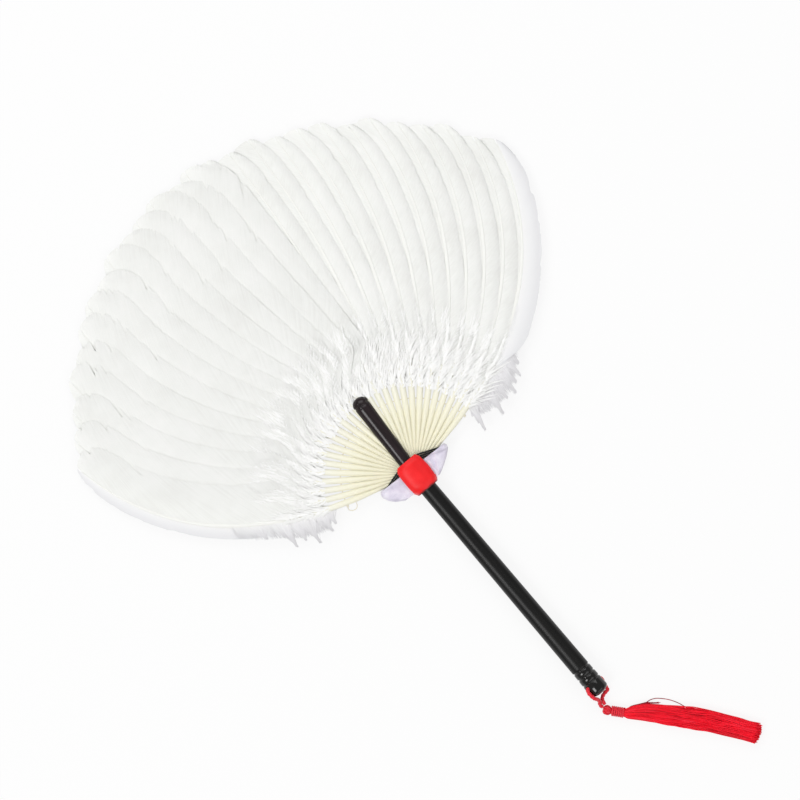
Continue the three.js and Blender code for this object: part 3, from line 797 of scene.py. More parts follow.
def edge_fall(r, lateral, full, reach):
    """How far the right side of a vane bends down to rest on the next feather and clear its shaft."""
    step = r * FEATHER_STEP * curl(r)
    layer = SHINGLE_RISE * step / r
    width = open_width(r, full) * np.maximum(tip_rounding(r, reach), TIP_REST)
    next_share = np.maximum(0, 1 - step / width) ** EDGE_FALL_POWER
    covering = np.maximum(smooth(0.7, 1.1, width / step), vane_step(COVER_SPAN, r))
    depth = EDGE_CLOSING * layer / (1 - next_share) * covering
    fall = depth * np.minimum(1, lateral / width) ** EDGE_FALL_POWER * vane_step(FALL_SPAN, r)
    over_shaft = bell(lateral - step, SHAFT_SPAN * quill_half_width(r))
    return fall - over_shaft * np.maximum(0, fall - (layer - shaft_top(r) - SHAFT_CLEAR))


def add_vane(skin, facts, sign, chance):
    reach = facts["reach"]
    free = facts["free"][sign]
    full = FREE_VANES[sign] if free else facts["widths"][sign]
    barbs = int((reach - VANE_START - 2) / BARB_PITCH)
    rows = 2 * barbs + 1
    root = np.linspace(VANE_START + 1.0, reach - 0.8, rows)
    length = barb_lengths(root, reach, full, free)
    ragged = np.repeat(chance.uniform(0, EDGE_RAGGED, barbs + 1), 2)[:rows]
    row = np.arange(rows)
    for nick in chance.choice(row[rows // 2 : -12], size=EDGE_NICKS):
        ragged = ragged + chance.uniform(*NICK_DEPTHS) * bell(row - nick, NICK_ROWS)
    length = np.maximum(length * (1 - ragged), SHORTEST_BARB)
    share = shares(BARB_STEPS)
    lateral = length[:, None] * share
    r = np.minimum(root[:, None] + barb_run(root[:, None], lateral), reach)
    side = sign * (lateral + 0.5 * quill_half_width(r))
    ridge = np.where(row % 2 == 1, 1.0, -1.0)[:, None] * BARB_RELIEF * (1 - 0.5 * share)
    fall = facts["settle"] * edge_fall(r, lateral, full, reach) if sign > 0 else 0.0
    phase = chance.uniform(0, PHASE_RANGE, 2)
    wave = ripples(r, (0.12, 9.0, phase[0] + side / 6.0), (0.1, 23.0, phase[1]))
    up = ridge - fall + wave * share
    half = mix(ROOT_THICKNESS, EDGE_THICKNESS, share) / 2
    top, bottom = (on_feather(facts["angle"], r, side, level) for level in (up + half, up - half))
    keep = np.ones(r.shape, bool)
    keep[:, -1] = False
    # A free vane takes the greyer material, whose tone is painted shade.
    add_sheet(skin, top, bottom, keep, stacked(root[:, None], share), ON_FREE_VANE if free else ON_VANE)


def add_shaft(skin, facts):
    reach = facts["reach"]
    quill = np.linspace(BUTT_START, VANE_START, 22)
    r = np.concatenate([quill, np.linspace(VANE_START + 3, reach - 3, 52)])[:, None]
    turn = around(SHAFT_SIDES)[None, :]
    ending = np.sqrt(np.clip((reach - r) / SHAFT_POINT, 0.04, 1))
    side = quill_half_width(r) * np.cos(turn) * ending
    height = np.where(np.sin(turn) > 0, shaft_top(r), quill_half_height(r))
    rings = on_feather(facts["angle"], r, side, height * np.sin(turn) * ending)
    skin.add(*loops_skin(rings), ON_HORN, stacked(r, turn))


def lay_down(skin, facts, r, side, up):
    centres = on_feather(facts["angle"], r, side, up)
    add_strands(skin, centres, DOWN_RADII, DOWN_SIDES, ON_DOWN, DOWN_FLAT)


def add_down(skin, facts, chance, strands=150):
    """Loose down that lies over the shaft and the vane where the vane begins."""
    share = DOWN_SHARE
    root = VANE_START + facts["bare"] + mix(*DOWN_ROOTS, column(chance, 0, 1, strands) ** 0.8)
    sign = chance.choice([-1.0, 1.0], strands)[:, None]
    length = column(chance, *DOWN_LENGTHS, strands)
    lean = column(chance, *DOWN_LEANS, strands)
    bow = column(chance, *DOWN_BOWS, strands)
    start = column(chance, 0.0, 0.9, strands)
    lift = column(chance, 0.0, 0.2, strands)
    side = sign * (start * quill_half_width(root) + length * (np.sin(lean) * share + bow * share**2))
    crown = quill_half_height(root) * np.sqrt(1 - start**2)
    up = crown * (1 - smooth(0.1, 0.7, share)) + 0.22 + lift * share * (1 - share) * 4
    lay_down(skin, facts, root + length * np.cos(lean) * share, side, up)


def add_edge_down(skin, facts, chance, strands=90):
    """Down on the right side of a vane that lies over its edge and hides the step to the next feather."""
    full = facts["widths"][1]
    root = VANE_START + mix(*EDGE_DOWN_ROOTS, column(chance, 0, 1, strands) ** 1.3)
    length = column(chance, *EDGE_DOWN_LENGTHS, strands)
    lean = column(chance, *EDGE_DOWN_LEANS, strands)
    start = column(chance, 0.5, 1.0, strands) * open_width(root, full)
    r = root + length * np.cos(lean) * DOWN_SHARE
    side = start + length * np.sin(lean) * DOWN_SHARE
    fall = facts["settle"] * edge_fall(r, side, full, facts["reach"])
    beyond = np.maximum(0, side - open_width(r, full))
    lay_down(skin, facts, r, side, 0.32 - fall - SHINGLE_RISE * beyond / r)


# Edge of the tuft between its tips, and the tips: distance from the pivot and distance from the shaft
TUFT_EDGES = {
    1: [(57, 8), (62, 12), (69, 15.5), (76, 18), (86, 20.5), (95, 19), (103, 15.5), (112, 12.5), (134, 10)],
    -1: [(62, 3), (67, 9), (71, 13), (78, 15), (86, 14.3), (92, 14.5), (97, 12.7), (106, 11.5), (132, 9)],
}
TUFT_TIPS = {
    1: [(57, 13.8), (57.4, 20.5), (74.1, 24.5), (83, 21), (89.8, 24.4), (95, 21), (100.2, 21.6),
        (105.6, 16.5)],
    -1: [(66, 11.5), (70.7, 15.8), (82.5, 21.3), (90, 17), (97.6, 20), (114, 11)],
}
TUFT_RISE = {1: 0.5, -1: 0.0}
TUFT_END = 104
TUFT_BLEND = 7
TUFT_ROOT = VANE_START + 2
# Scatter of the strands: along and across the feather in the soft mass, at root and tip in the wisps
MASS_SCATTER_ALONG = 0.8
MASS_SCATTER_ACROSS = 0.5
WISP_SCATTER_ROOT = 3.6
WISP_SCATTER_TIP = 0.45


def add_wisps(skin, facts, sign, root, tip_r, tip_side, chance, material=ON_TUFT):
    """Strands of down from the shaft outwards that draw together towards their tips."""
    strands = len(root)
    travel = WISP_SHARE * (1.02 - 0.3 * column(chance, 0, 1, strands) ** 2.5)
    wiggle = 0.3 * np.sin(5 * WISP_SHARE + column(chance, 0, PHASE_RANGE, strands)) * WISP_SHARE
    side = sign * (1.0 + (tip_side - 1.0) * travel) + wiggle
    r = mix(root, tip_r, smooth(-0.2, 1.05, travel))
    up = column(chance, -0.5, 0.9, strands) * (1 - 0.7 * travel) - 0.8 * travel
    centres = on_feather(facts["angle"], r, side, up, lap_share=TUFT_RISE[sign])
    add_strands(skin, centres, WISP_RADII, DOWN_SIDES, material, WISP_FLAT)


def add_tuft(skin, facts, sign, chance, fill=560, strands=80):
    """Tuft of down on the free side of an outermost feather: a soft mass with pointed wisps at its edge."""
    edge_r, edge_side = np.array(TUFT_EDGES[sign]).T
    tip_r = np.linspace(edge_r[0], edge_r[-1], fill)[:, None] + scatter(chance, MASS_SCATTER_ALONG, fill)
    root = np.maximum(tip_r + column(chance, 0, 5, fill), TUFT_ROOT)
    tip_side = np.interp(tip_r, edge_r, edge_side) + scatter(chance, MASS_SCATTER_ACROSS, fill)
    # Strands past the end of the tuft take the free vane's lighter painted shade, blended at random over a
    # few millimetres.
    calm = (tip_r + scatter(chance, TUFT_BLEND, fill))[:, 0] > TUFT_END
    for part, material in ((~calm, ON_TUFT), (calm, ON_FREE_VANE)):
        add_wisps(skin, facts, sign, root[part], tip_r[part], tip_side[part], chance, material)
    for r, side in TUFT_TIPS[sign]:
        root = np.maximum(r + 2 + scatter(chance, WISP_SCATTER_ROOT, strands), TUFT_ROOT)
        gathered = r + scatter(chance, WISP_SCATTER_TIP, strands)
        add_wisps(skin, facts, sign, root, gathered, side, chance)


for order in range(-FEATHER_PAIRS, FEATHER_PAIRS + 1):
    facts = feather_facts(order)
    chance = np.random.default_rng(100 + order)
    skin = Skin()
    for sign in (1, -1):
        add_vane(skin, facts, sign, chance)
    add_shaft(skin, facts)
    add_down(skin, facts, chance)
    if not facts["free"][1]:
        add_edge_down(skin, facts, chance)
    for sign in (1, -1):
        if facts["free"][sign]:
            add_tuft(skin, facts, sign, chance)
    hand = "left" if order < 0 else "right"
    name = f"feather_{hand}_{abs(order):02d}" if order else "feather_centre"
    plume = skin.piece(f"{name}_plume", PLUME_LOOKS, leaning=True, sharp=True)
    finish_piece(plume, "fan", name)


# Handle
ROD_LOOKS = [LACQUER, STUB_LACQUER, RING_LACQUER]
ON_GRIP, ON_STUB, ON_RINGS = range(len(ROD_LOOKS))
HANDLE_END = -HANDLE_BELOW
CORD_HOLE_Y = HANDLE_END + CORD_HOLE_UP
RINGS_FROM = HANDLE_END + CAP_LENGTH
RINGS_END = RINGS_FROM + 2 * RING_PITCH


def ring_profile(y, radius):
    turn = np.linspace(0, 1, 9)
    depth = RING_DEPTH * np.sin(math.pi * turn) ** 1.4
    return [[radius - dip, y - RING_HALF + 2 * RING_HALF * t] for t, dip in zip(turn, depth)]


def grip_profile():
    rounding = [
        [CAP_RADIUS * math.sin(a), HANDLE_END + END_ROUND * (1 - math.cos(a))]
        for a in np.linspace(0.42, math.pi / 2, 9)
    ]
    return [
        [0.0, rounding[0][1]],
        *rounding,
        *ring_profile(RINGS_FROM, CAP_RADIUS - 0.2),
        *ring_profile(RINGS_FROM + RING_PITCH, END_RADIUS + 0.1),
        *ring_profile(RINGS_END, END_RADIUS),
        [END_RADIUS - 0.02, RINGS_END + 2],
        [mix(END_RADIUS, GRIP_RADIUS, 0.5), mix(RINGS_END, BAND_BOTTOM, 0.5)],
        [GRIP_RADIUS, BAND_BOTTOM - 1],
        [GRIP_RADIUS, BAND_BOTTOM + 5.2],
        [STUB_RADIUS, BAND_TOP - 8.5],
        [0.0, BAND_TOP - 8.5],
    ]


def stub_profile():
    top = HANDLE_ABOVE
    crown = [
        [STUB_TOP_RADIUS * math.cos(a) ** 0.9, top - STUB_ROUND * (1 - math.sin(a))]
        for a in np.linspace(0, 1.4, 10)
    ]
    return [
        [0.0, -STUB_ROOT],
        [STUB_RADIUS, -STUB_ROOT],
        [STUB_RADIUS, BAND_TOP + 1],
        [STUB_TOP_RADIUS - 0.16, top - STUB_RING_DROP - 3],
        *ring_profile(top - STUB_RING_DROP, STUB_TOP_RADIUS - 0.1),
        *crown,
        [0.0, crown[-1][1]],
    ]


def turned_piece(name, profile, leaning=False):
    radius, y = np.array(profile).T[..., None]
    radius = np.maximum(radius, 0.02)
    turn = around(HANDLE_SIDES)
    skin = Skin()
    skin.add(*loops_skin(stacked(radius * np.sin(turn), y, radius * np.cos(turn))))
    return skin.piece(name, ROD_LOOKS, leaning)


def on_hole(along, y):
    """A point on the axis of the cord's cross hole, whose left mouth is turned up to the front."""
    return [along * math.cos(CORD_HOLE_ROLL), y, -along * math.sin(CORD_HOLE_ROLL)]


def cutting_piece():
    cutter = Skin()
    half = QUILL_RADIUS + GAP
    corners = ((-CUT_REACH, -half), (CUT_REACH, -half), (CUT_REACH, half), (-CUT_REACH, half))
    cutter.add(*loops_skin([[[x, y, z] for x, z in corners] for y in (-SLOT_BELOW, HANDLE_ABOVE + 10)]))
    turn = around(24)
    aside = np.array([math.sin(CORD_HOLE_ROLL), 0, math.cos(CORD_HOLE_ROLL)])
    mouth = CORD_HOLE / 2 * (np.outer(np.cos(turn), [0, 1, 0]) + np.outer(np.sin(turn), aside))
    hole = [on_hole(along, CORD_HOLE_Y) + mouth for along in (-CUT_REACH, CUT_REACH)]
    cutter.add(*loops_skin(hole))
    return cutter.piece("slot_tool", [LACQUER])


def make_handle():
    rod = turned_piece("handle_rod", grip_profile())
    stub = turned_piece("stub_rod", stub_profile(), leaning=True)
    stub.location.x = STUB_SHIFT * MM
    tool = cutting_piece()
    for title, other, operation in (("join", stub, "UNION"), ("split", tool, "DIFFERENCE")):
        step = rod.modifiers.new(title, "BOOLEAN")
        step.object = other
        step.operation = operation
        step.solver = "EXACT"
    bpy.context.view_layer.update()
    shape = bpy.data.meshes.new_from_object(rod.evaluated_get(bpy.context.evaluated_depsgraph_get()))
    rod.modifiers.clear()
    rod.data = shape
    for other in (stub, tool):
        bpy.data.objects.remove(other)
    rings_end = PIVOT[1] + (RINGS_END + 1.2) * MM
    for polygon in shape.polygons:
        height = polygon.center.y
        polygon.material_index = ON_STUB if height > PIVOT[1] else ON_RINGS if height < rings_end else ON_GRIP
    shape.shade_smooth()
    shape.set_sharp_from_angle(angle=HANDLE_RIM_ANGLE)
    return rod


finish_piece(make_handle(), "fan", "handle")


# Binding, sewing thread and wrapped pieces
def drape(x, over_handle, over_quills):
    share = np.minimum(1, np.abs(x) / DRAPE_FOOT)
    return over_quills + (over_handle - over_quills) * (1 + np.cos(math.pi * share)) / 2


def binding_path():
    over_handle = STUB_RADIUS + HANDLE_CLEAR + BINDING_DIAMETER / 2
    over_quills = QUILL_PILE + GAP + BINDING_DIAMETER / 2
    quarter = [[0, 1], [0.18, 1], [0.36, 1], [0.58, 1], [0.9, 1], [0.985, 0.62], [1, 0]]
    half = quarter + [[x, -z] for x, z in quarter[-2::-1]]
    turn = half + [[-x, -z] for x, z in half[1:-1]]
    points = []
    for step in range(BINDING_TURNS * len(turn) + 1):
        turns = step / len(turn)
        across, share = turn[step % len(turn)]
        x = across * (BINDING_HALF_WIDTH - BINDING_END_STEP * turns)
        y = BINDING_TOP - BINDING_PITCH * turns - BINDING_SLOPE * max(0, abs(x) - BINDING_SLOPE_FROM)
        points.append([x, y, share * float(drape(x, over_handle, over_quills))])
    return smooth_path(points, BINDING_STEPS)


binding = tube_piece("black_cord_binding", BLACK_CORD, binding_path(), BINDING_CORD, leaning=True)
finish_piece(binding, "fan", "quill_binding")

# Loop of loose thread at the left end: distance outside the last quill and distance from the pivot
THREAD_TAIL = [(0.9, 53), (3.0, 53.4), (4.7, 51.4), (4.4, 48.6), (2.4, 46.8), (0.3, 46.4)]


def make_thread():
    reach = QUILL_SPREAD * float(curl(THREAD_RADIUS)) * THREAD_RADIUS + QUILL_RADIUS + GAP
    skin = Skin()
    angle = np.linspace(-reach, reach, THREAD_STEPS) / THREAD_RADIUS
    add_tube(skin, on_spoke(THREAD_RADIUS, angle, 0.0), THREAD_CORD)
    turns = np.linspace(0, THREAD_KNOT_TURNS * FULL_TURN, THREAD_KNOT_STEPS)
    length = np.linspace(-0.5, 0.5, THREAD_KNOT_STEPS) * THREAD_KNOT * 0.55
    for sign in (-1, 1):
        middle = sign * (reach - GAP + 0.2 * THREAD_KNOT) / THREAD_RADIUS
        outward = np.array([math.cos(middle), -math.sin(middle), 0]) * sign
        sideways = on_spoke(1.0, middle, 0.0)
        coil = np.outer(np.cos(turns), sideways) + np.outer(np.sin(turns), UP)
        knot = THREAD_RADIUS * sideways + np.outer(length, outward) + THREAD_KNOT_COIL * coil
        add_tube(skin, knot, THREAD_KNOT_CORD)
    outside, r = np.array(THREAD_TAIL).T
    angle = -QUILL_SPREAD * curl(r) - (quill_half_width(r) + outside) / r
    add_tube(skin, smooth_path(on_spoke(r, angle, -0.25 * outside), LOOSE_STEPS), THREAD_TAIL_CORD)
    return skin.piece("quill_thread", [PALE_THREAD], leaning=True)


finish_piece(make_thread(), "fan", "sewing_thread")


def wrap_piece(name, outer, inner, keep, material, leaning):
    rows, columns = keep.shape
    skin = Skin()
    add_sheet(skin, outer, inner, keep, stacked(np.arange(columns)[None, :], np.arange(rows)[:, None]))
    return skin.piece(name, [material], leaning, sharp=True)


# Half width of the ribbon's left and right wing at levels from its bottom to its top
WING_LEVELS = [0, 0.22, 0.46, 0.72, 0.9, 1.0]
LEFT_WING = [17.5, 23.5, 27.0, 29.0, 28.6, 27.7]
RIGHT_WING = [13.5, 19.5, 24.5, 29.0, 29.6, 28.4]
WING_STRAIGHT = 0.86
# Heights of the ribbon's folds
ROLL_HEIGHT = 1.8
PUFF_HEIGHT = 1.7
HEM_HEIGHT = 0.8
RIBBON_REST = 0.3
# Distances from the axis where the wings are free of the band, the roll begins and the crease lies
WINGS_FROM = 10.5
WINGS_FREE = 13
ROLL_FROM = 13
ROLL_FULL = 16
CREASE_AT = 15.2


def wing_section(reach, over_handle, over_quills):
    """Half of the ribbon's round at one level: out along the front and back along the rear."""
    turning = 1 - (1 - WING_STRAIGHT) * np.linspace(1, 0, 9)[1:] ** 2
    x = np.concatenate([np.linspace(0, WING_STRAIGHT, 22), turning]) * reach
    beyond = np.maximum(0, (x - (reach - RIBBON_FOLD)) / RIBBON_FOLD)
    z = drape(x, over_handle, over_quills) * np.sqrt(np.maximum(0, 1 - beyond**2))
    return np.concatenate([stacked(x, z), stacked(x, -z)[-2::-1]])


def ribbon_wrinkle(x, y, face):
    """Height of the folds: a rolled top on the right wing, a crease beside the band and soft waves."""
    slant = np.abs(x) * 0.55 - y * 0.85
    waves = 0.25 * np.sin(slant * 0.6 + 0.6 * np.sign(x)) + 0.1 * np.sin(slant * 1.5 + 1.3 + 0.5 * face)
    roll_depth = mix(0.8, 4.4, np.clip((x - 17) / 11, 0, 1))
    rolled = 1 - smooth(roll_depth - 0.5, roll_depth + 0.3, RIBBON_TOP - y)
    roll = ROLL_HEIGHT * rolled * smooth(ROLL_FROM, ROLL_FULL, x)
    from_crease = x - CREASE_AT - 0.4 * (y + 0.6)
    dent = 1 - bell(from_crease, 1.1)
    puff = PUFF_HEIGHT * dent * bell(from_crease, 5.5) * (x > 0)
    # Here the value is only the height of the hem fold on the left wing.
    hem_and_painted_shade = HEM_HEIGHT * bell(y - RIBBON_TOP + 1.0, 0.9) * (x < 0)
    return np.maximum(waves + roll + puff + hem_and_painted_shade + RIBBON_REST, 0.0)


def ribbon_grid(inset):
    level = np.linspace(0, 1, RIBBON_ROWS)
    left_width = np.interp(level, WING_LEVELS, LEFT_WING) - inset
    right_width = np.interp(level, WING_LEVELS, RIGHT_WING) - inset
    over_handle = GRIP_RADIUS + HANDLE_CLEAR + RIBBON_THICKNESS - inset
    over_quills = QUILL_PILE + BINDING_DIAMETER + 3 * GAP + RIBBON_THICKNESS - inset
    loops = []
    for y, left, right in zip(mix(RIBBON_BOTTOM, RIBBON_TOP, level), left_width, right_width):
        front = wing_section(right, over_handle, over_quills)
        x, z = np.concatenate([front, -wing_section(left, over_handle, over_quills)[1:-1]]).T
        ripple = ribbon_wrinkle(x, y, np.sign(z)) * smooth(WINGS_FROM, WINGS_FREE, np.abs(x))
        loops.append(stacked(x, y, z + np.sign(z) * ripple))
    return np.array(loops)


outer_ribbon = ribbon_grid(0.0)
inner_ribbon = ribbon_grid(RIBBON_THICKNESS * 0.75)
keep_ribbon = np.ones(outer_ribbon.shape[:2], bool)
ribbon = wrap_piece("ribbon_wrap", outer_ribbon, inner_ribbon, keep_ribbon, WHITE_SATIN, leaning=True)
finish_piece(ribbon, "fan", "white_ribbon")


def band_grid(scale):
    rows = np.linspace(BAND_BOTTOM, BAND_TOP + 0.8, BAND_ROWS)
    foot = (1 - smooth(BAND_BOTTOM - 1.5, BAND_BOTTOM + 6.5, rows)) ** 1.4
    head = (1 - smooth(BAND_TOP + 1.8, BAND_TOP - 4, rows)) ** 1.6
    barrel = 1 + BAND_BARREL * np.sin(math.pi * np.linspace(0, 1, BAND_ROWS))
    half_width = (1 - 0.26 * foot - 0.13 * head) * barrel * BAND_HALF_WIDTH * scale
    half_height = (1 - 0.2 * foot - 0.2 * head) * BAND_HALF_HEIGHT * scale
    turn = around(BAND_SIDES)
    rounds = (np.cos(turn), np.sin(turn))
    across, up = (np.sign(wave) * np.abs(wave) ** (2 / BAND_SQUARENESS) for wave in rounds)
    loops = []
    for y, wide, high in zip(rows, half_width, half_height):
        ripple = 1 + 0.007 * np.sin(y * 0.6 + 2.0 * np.cos(turn)) + 0.006 * np.sin(3 * turn + y * 0.4)
        z = np.maximum(up * high * ripple, FLOOR_HEIGHT + BAND_LIFT)
        loops.append(stacked(across * wide * ripple, y, z))
    return np.array(loops)


inside_height = GRIP_RADIUS + HANDLE_CLEAR + RIBBON_THICKNESS + GAP
side_height = float(drape(0.66 * (BAND_HALF_WIDTH - 1.2), inside_height, QUILL_PILE + 2.6)) + GAP
outer_band = band_grid(1.0)
# The quills leave through a slot on each side, above the closed ring at the bottom of the band
ring_top = BAND_BOTTOM + BAND_RING - 0.6
opening = (side_height - 0.4) * smooth(ring_top, ring_top + 3.5, outer_band[..., 1])
band_level = np.abs(outer_band[..., 2])
keep_band = np.minimum(band_level, np.roll(band_level, -1, axis=1)) >= opening
band = wrap_piece("satin_band", outer_band, band_grid(BAND_LINING), keep_band, RED_SATIN, leaning=False)
finish_piece(band, "fan", "red_band")


# Tassel
ON_SKIRT, ON_LOOSE_ENDS = range(2)
KNOT_CENTRE = np.array([-KNOT_LEFT, HANDLE_END - KNOT_BELOW, FLOOR_HEIGHT + KNOT_RADIUS + 0.2])
KNOT_FOOT = KNOT_CENTRE * np.array([1, 1, 0])
SKIRT_DIRECTION = np.array([math.sin(TASSEL_TURN), -math.cos(TASSEL_TURN), 0])
SKIRT_SIDE = np.array([math.cos(TASSEL_TURN), math.sin(TASSEL_TURN), 0])


def cord_path():
    top = CORD_HOLE_Y
    bottom = HANDLE_END
    clear = CAP_RADIUS + CORD_DIAMETER / 2 + 0.35
    knot_x, knot_y, knot_z = KNOT_CENTRE
    finish = knot_y + KNOT_RADIUS + 0.35
    apart = CORD_DIAMETER / 2 + 0.2
    below = bottom - CORD_DIAMETER / 2 - 0.7
    bend = [(0.1, 2.2), (1.4, 0.25), (3.6, 0)]
    route = [
        [knot_x - apart, finish, knot_z],
        [knot_x - apart - 0.1, finish + 2, knot_z + 1],
        [knot_x - apart + 1.3, below - 1.0, knot_z + 4.4],
        on_hole(-clear + 0.6, bottom + 1.2),
        on_hole(-clear, top - 4.4),
        *[on_hole(-clear + inward, top - drop) for inward, drop in bend],
        [0, top, 0],
        *[on_hole(clear - inward, top - drop) for inward, drop in bend[::-1]],
        [5.6, top - 4.4, -6.9],
        [5.3, bottom + 1.8, -7.0],
        [knot_x + 9.4, below + 0.3, knot_z - 0.4],
        [knot_x + 6.2, below - 0.3, knot_z],
        [knot_x + 3.0, below - 1.6, knot_z],
        [knot_x + apart + 0.3, finish + 1.9, knot_z],
        [knot_x + apart, finish, knot_z],
    ]
    return smooth_path(route, LOOP_STEPS)


loop_path = cord_path()
loop_piece = tube_piece("red_cord_loop", RED_CORD, loop_path, LOOP_CORD)
finish_piece(loop_piece, "cord_loop", "tassel_cord")


def by_knot(base, along, side, up):
    """Points at distances along the tassel, to its right and up from a base point."""
    return (
        base
        + np.asarray(along)[..., None] * SKIRT_DIRECTION
        + np.asarray(side)[..., None] * SKIRT_SIDE
        + np.asarray(up)[..., None] * UP
    )


def round_knot(radius, latitude, longitude):
    out = radius * np.cos(latitude)
    return by_knot(KNOT_CENTRE, radius * np.sin(latitude), out * np.cos(longitude), out * np.sin(longitude))


def make_knot():
    """A ball with a cord that goes three times round it in seven waves."""
    skin = Skin()
    turn = around(28)
    skin.add(*loops_skin([round_knot(0.72 * KNOT_RADIUS, lat, turn) for lat in np.linspace(-1.5, 1.5, 15)]))
    t = np.linspace(0, FULL_TURN, KNOT_STEPS)
    radius = 0.76 * KNOT_RADIUS + 0.32 * np.cos(KNOT_WAVES * t + 0.4)
    add_tube(skin, round_knot(radius, 1.12 * np.sin(KNOT_WAVES * t), KNOT_ROUNDS * t), KNOT_CORD)
    return skin.piece("tassel_ball_knot", [RED_CORD])


finish_piece(make_knot(), "tassel", "tassel_knot")


def winding_path():
    radius = NECK_RADIUS + 0.25 + WINDING_DIAMETER / 2
    turn = np.linspace(0, FULL_TURN * (WINDING_TURNS + 1), WINDING_STEPS)
    along = KNOT_RADIUS - 0.5 + WINDING_PITCH * turn / FULL_TURN
    return by_knot(KNOT_CENTRE, along, radius * np.cos(turn), radius * np.sin(turn))


winding = tube_piece("tassel_whipping", RED_CORD, winding_path(), WINDING_CORD)
finish_piece(winding, "tassel", "tassel_winding")


def skirt_section(along):
    """Half width, half height, height of the middle and sideways bow of the skirt, from the knot outwards."""
    neck_end = KNOT_RADIUS + GAP + WINDING_PITCH * WINDING_TURNS + WINDING_DIAMETER + 0.6
    share = (along - neck_end) / (SKIRT_LENGTH - neck_end)
    stations = [-0.2, 0.0, 0.02, 0.05, 0.14, 0.32, 0.6, 0.85, 1.0]
    wide = np.interp(share, stations, [0, 0.12, 0.38, 0.52, 0.74, 1.0, 1.05, 1.02, 1.0])
    high = np.interp(share, stations, [0, 0.1, 0.3, 0.45, 0.8, 1.0, 1.0, 1.0, 0.92])
    bow = np.interp(share, stations, [0, 0, 0.1, 0.32, 0.78, 1.0, 0.96, 0.4, 0])
    width = mix(NECK_RADIUS, SKIRT_HALF_WIDTH, wide)
    height = mix(NECK_RADIUS, SKIRT_HALF_HEIGHT, high)
    centre = mix(KNOT_CENTRE[2], FLOOR_HEIGHT + SKIRT_HALF_HEIGHT + 0.5, high)
    return width, height, centre, 0.85 * SKIRT_BOW * bow


# Loose thread at the skirt's right edge: distance from the knot, from the axis and off the floor
LOOSE_THREAD = [(26, 9.2, 3.4), (29, 11.6, 1.6), (33, 13.2, 0.8), (41, 13.7, 0.8), (48, 12.6, 1.2),
                (55, 10.2, 3.4)]


def add_frayed_edge(skin, chance, strands=14):
    """Short thread ends that stand off the right edge of the skirt near the neck."""
    share = shares(10)
    start = column(chance, *FRAY_STARTS, strands)
    along = start + column(chance, *FRAY_LENGTHS, strands) * share
    width, height, centre, bow = skirt_section(along)
    side = bow + width - 0.5 + column(chance, *FRAY_STAND, strands) * share**1.5
    level = mix(centre, FLOOR_HEIGHT + 1.2, column(chance, 0.1, 0.9, strands))
    ends = by_knot(KNOT_FOOT, along, side, level)
    add_strands(skin, ends, mix(*FRAY_RADII, share[0]), STRAND_SIDES, ON_LOOSE_ENDS)


def make_skirt():
    chance = np.random.default_rng(7)
    skin = Skin()
    order = np.arange(SKIRT_STRANDS)
    distance = np.sqrt((order + 0.5) / SKIRT_STRANDS)
    unit_x = (distance * np.cos(order * GOLDEN_TURN))[:, None]
    unit_y = (distance * np.sin(order * GOLDEN_TURN))[:, None]
    share = shares(SKIRT_STEPS)
    uneven = chance.uniform(0, 2.6, SKIRT_STRANDS) + 2.4 * distance**4
    end = (SKIRT_LENGTH + 1.6 - uneven)[:, None] + 1.2 * unit_x
    along = mix(0.75 * KNOT_RADIUS, end, share)
    width, height, centre, bow = skirt_section(along)
    first, second, third, fourth = chance.uniform(0, PHASE_RANGE, (SKIRT_STRANDS, 4)).T[..., None]
    free = smooth(0.1, 0.45, share)
    clump = ripples(along, (0.5, 17, 3 * unit_x), (0.35, 7.5, 5 * unit_x + 2 * unit_y))
    sway = ripples(along, (0.55, 9, first), (0.4, 4.3, second))
    lift = ripples(along, (0.35, 8, third), (0.25, 3.9, fourth))
    crimp = ripples(along, (0.5, 5.2, 2.2 * unit_x + 0.8 * first), (0.3, 2.9, second))
    side = bow + unit_x * (width - STRAND_RADIUS) * 0.95 + free * (0.4 * sway + 0.55 * clump + 0.45 * crimp)
    level = centre + unit_y * (height - STRAND_RADIUS) * 0.94 + free * (0.5 * lift + 0.35 * crimp)
    level = np.maximum(level, FLOOR_HEIGHT + STRAND_RADIUS + 0.1)
    add_strands(skin, by_knot(KNOT_FOOT, along, side, level), STRAND_RADIUS, STRAND_SIDES, ON_SKIRT)
    loose_along, loose_side, loose_level = np.array(LOOSE_THREAD).T
    loose = by_knot(KNOT_FOOT, loose_along, loose_side, FLOOR_HEIGHT + loose_level)
    add_strands(skin, smooth_path(loose, LOOSE_STEPS)[None], LOOSE_RADIUS, LOOSE_SIDES, ON_LOOSE_ENDS)
    add_frayed_edge(skin, chance)
    return skin.piece("tassel_threads", [RED_THREAD, DARK_RED_THREAD])


finish_piece(make_skirt(), "tassel", "tassel_skirt")


# Stage, light and camera, in metres
FLOOR_HALF = 6.0
FLOOR_TONE = (0.86, 0.86, 0.86, 1)
FLOOR_GLOW = 0.86
WHITE = (1, 1, 1, 1)
SKY_STRENGTH = 0.4
CAMERA_TURN = -40.2 * RADIAN
CAMERA_HEIGHT = 2.2
SENSOR_WIDTH = 36
FRAME_WIDTH = 0.56
# Middle of the picture, in millimetres from the pivot
PICTURE_CENTRE = (24.7, 46.7, 0)
# Place of each lamp, its two sides and its power in watts; all look at the origin
LAMPS = {
    "key_light": ((-1.9, -0.25, 2.7), (1.0, 1.35), 33),
    "glint_light": ((-0.85, 0.95, 1.5), (0.12, 0.12), 3),
    "head_light": ((0.7, 1.4, 1.7), (2.4, 1.4), 20),
    "foot_light": ((0.5, -1.6, 1.7), (2.4, 1.4), 12),
}


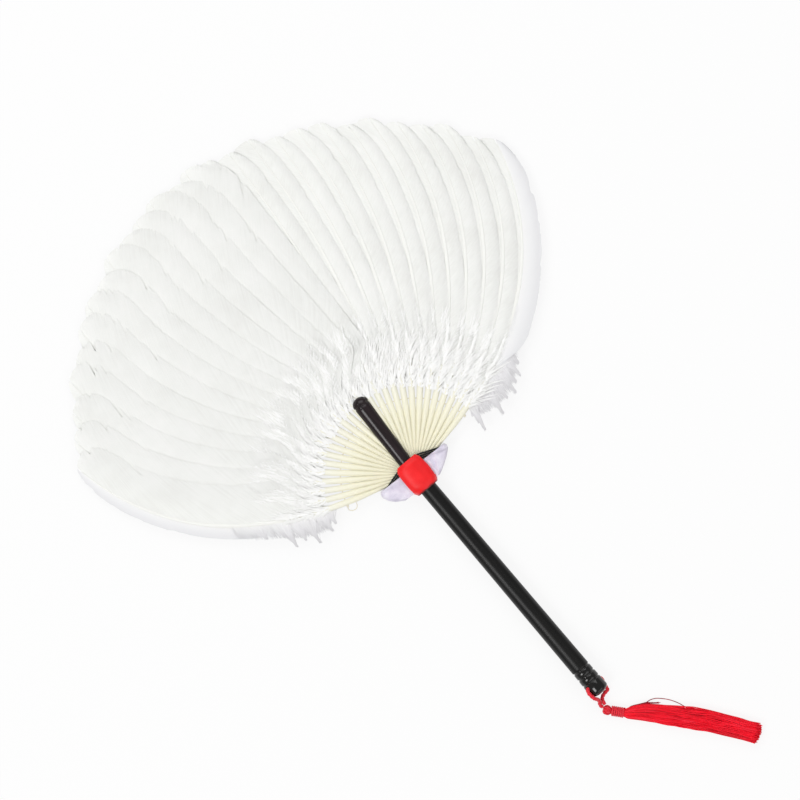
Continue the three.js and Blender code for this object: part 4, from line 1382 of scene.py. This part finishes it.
def make_floor():
    """A white floor that glows where it is seen, so that it shows only faint shadows."""
    mesh = bpy.data.meshes.new("floor")
    corners = [(x * FLOOR_HALF, y * FLOOR_HALF, 0) for x, y in ((-1, -1), (1, -1), (1, 1), (-1, 1))]
    mesh.from_pydata(corners, [], [(0, 1, 2, 3)])
    look = Look("floor_white", 1.0)
    look.tree.nodes.remove(look.shader)
    rays = look.node("ShaderNodeLightPath").outputs
    seen = rays["Is Camera Ray"]
    for other in ("Is Glossy Ray", "Is Transmission Ray"):
        seen = look.maths("MAXIMUM", seen, rays[other])
    join = look.node("ShaderNodeMixShader", Fac=look.maths("MULTIPLY", seen, FLOOR_GLOW))
    look.put(join.inputs[1], look.node("ShaderNodeBsdfDiffuse", Color=FLOOR_TONE).outputs["BSDF"])
    look.put(join.inputs[2], look.node("ShaderNodeEmission", Color=WHITE, Strength=1.0).outputs["Emission"])
    look.fill(look.tree.nodes["Material Output"], Surface=join.outputs["Shader"])
    mesh.materials.append(look.material)
    return add_object("floor", mesh)


floor = make_floor()
for name, (location, sides, power) in LAMPS.items():
    lamp = bpy.data.lights.new(name, "AREA")
    lamp.shape = "RECTANGLE"
    lamp.size, lamp.size_y = sides
    lamp.energy = power
    made = add_object(name, lamp)
    made.location = location
    made.rotation_euler = (-Vector(location)).to_track_quat("-Z", "Y").to_euler()

world = bpy.data.worlds.new("studio")
world.use_nodes = True
sky = world.node_tree.nodes["Background"]
sky.inputs["Color"].default_value = WHITE
sky.inputs["Strength"].default_value = SKY_STRENGTH
bpy.context.scene.world = world

camera_data = bpy.data.cameras.new("camera")
camera = add_object("camera", camera_data)
camera.location = place(PICTURE_CENTRE)
camera.location.z = CAMERA_HEIGHT
camera.rotation_euler = (0, 0, CAMERA_TURN)
camera_data.sensor_width = SENSOR_WIDTH
camera_data.lens = SENSOR_WIDTH * (CAMERA_HEIGHT - PIVOT[2]) / FRAME_WIDTH
bpy.context.scene.camera = camera
bpy.context.scene.view_settings.view_transform = "Standard"
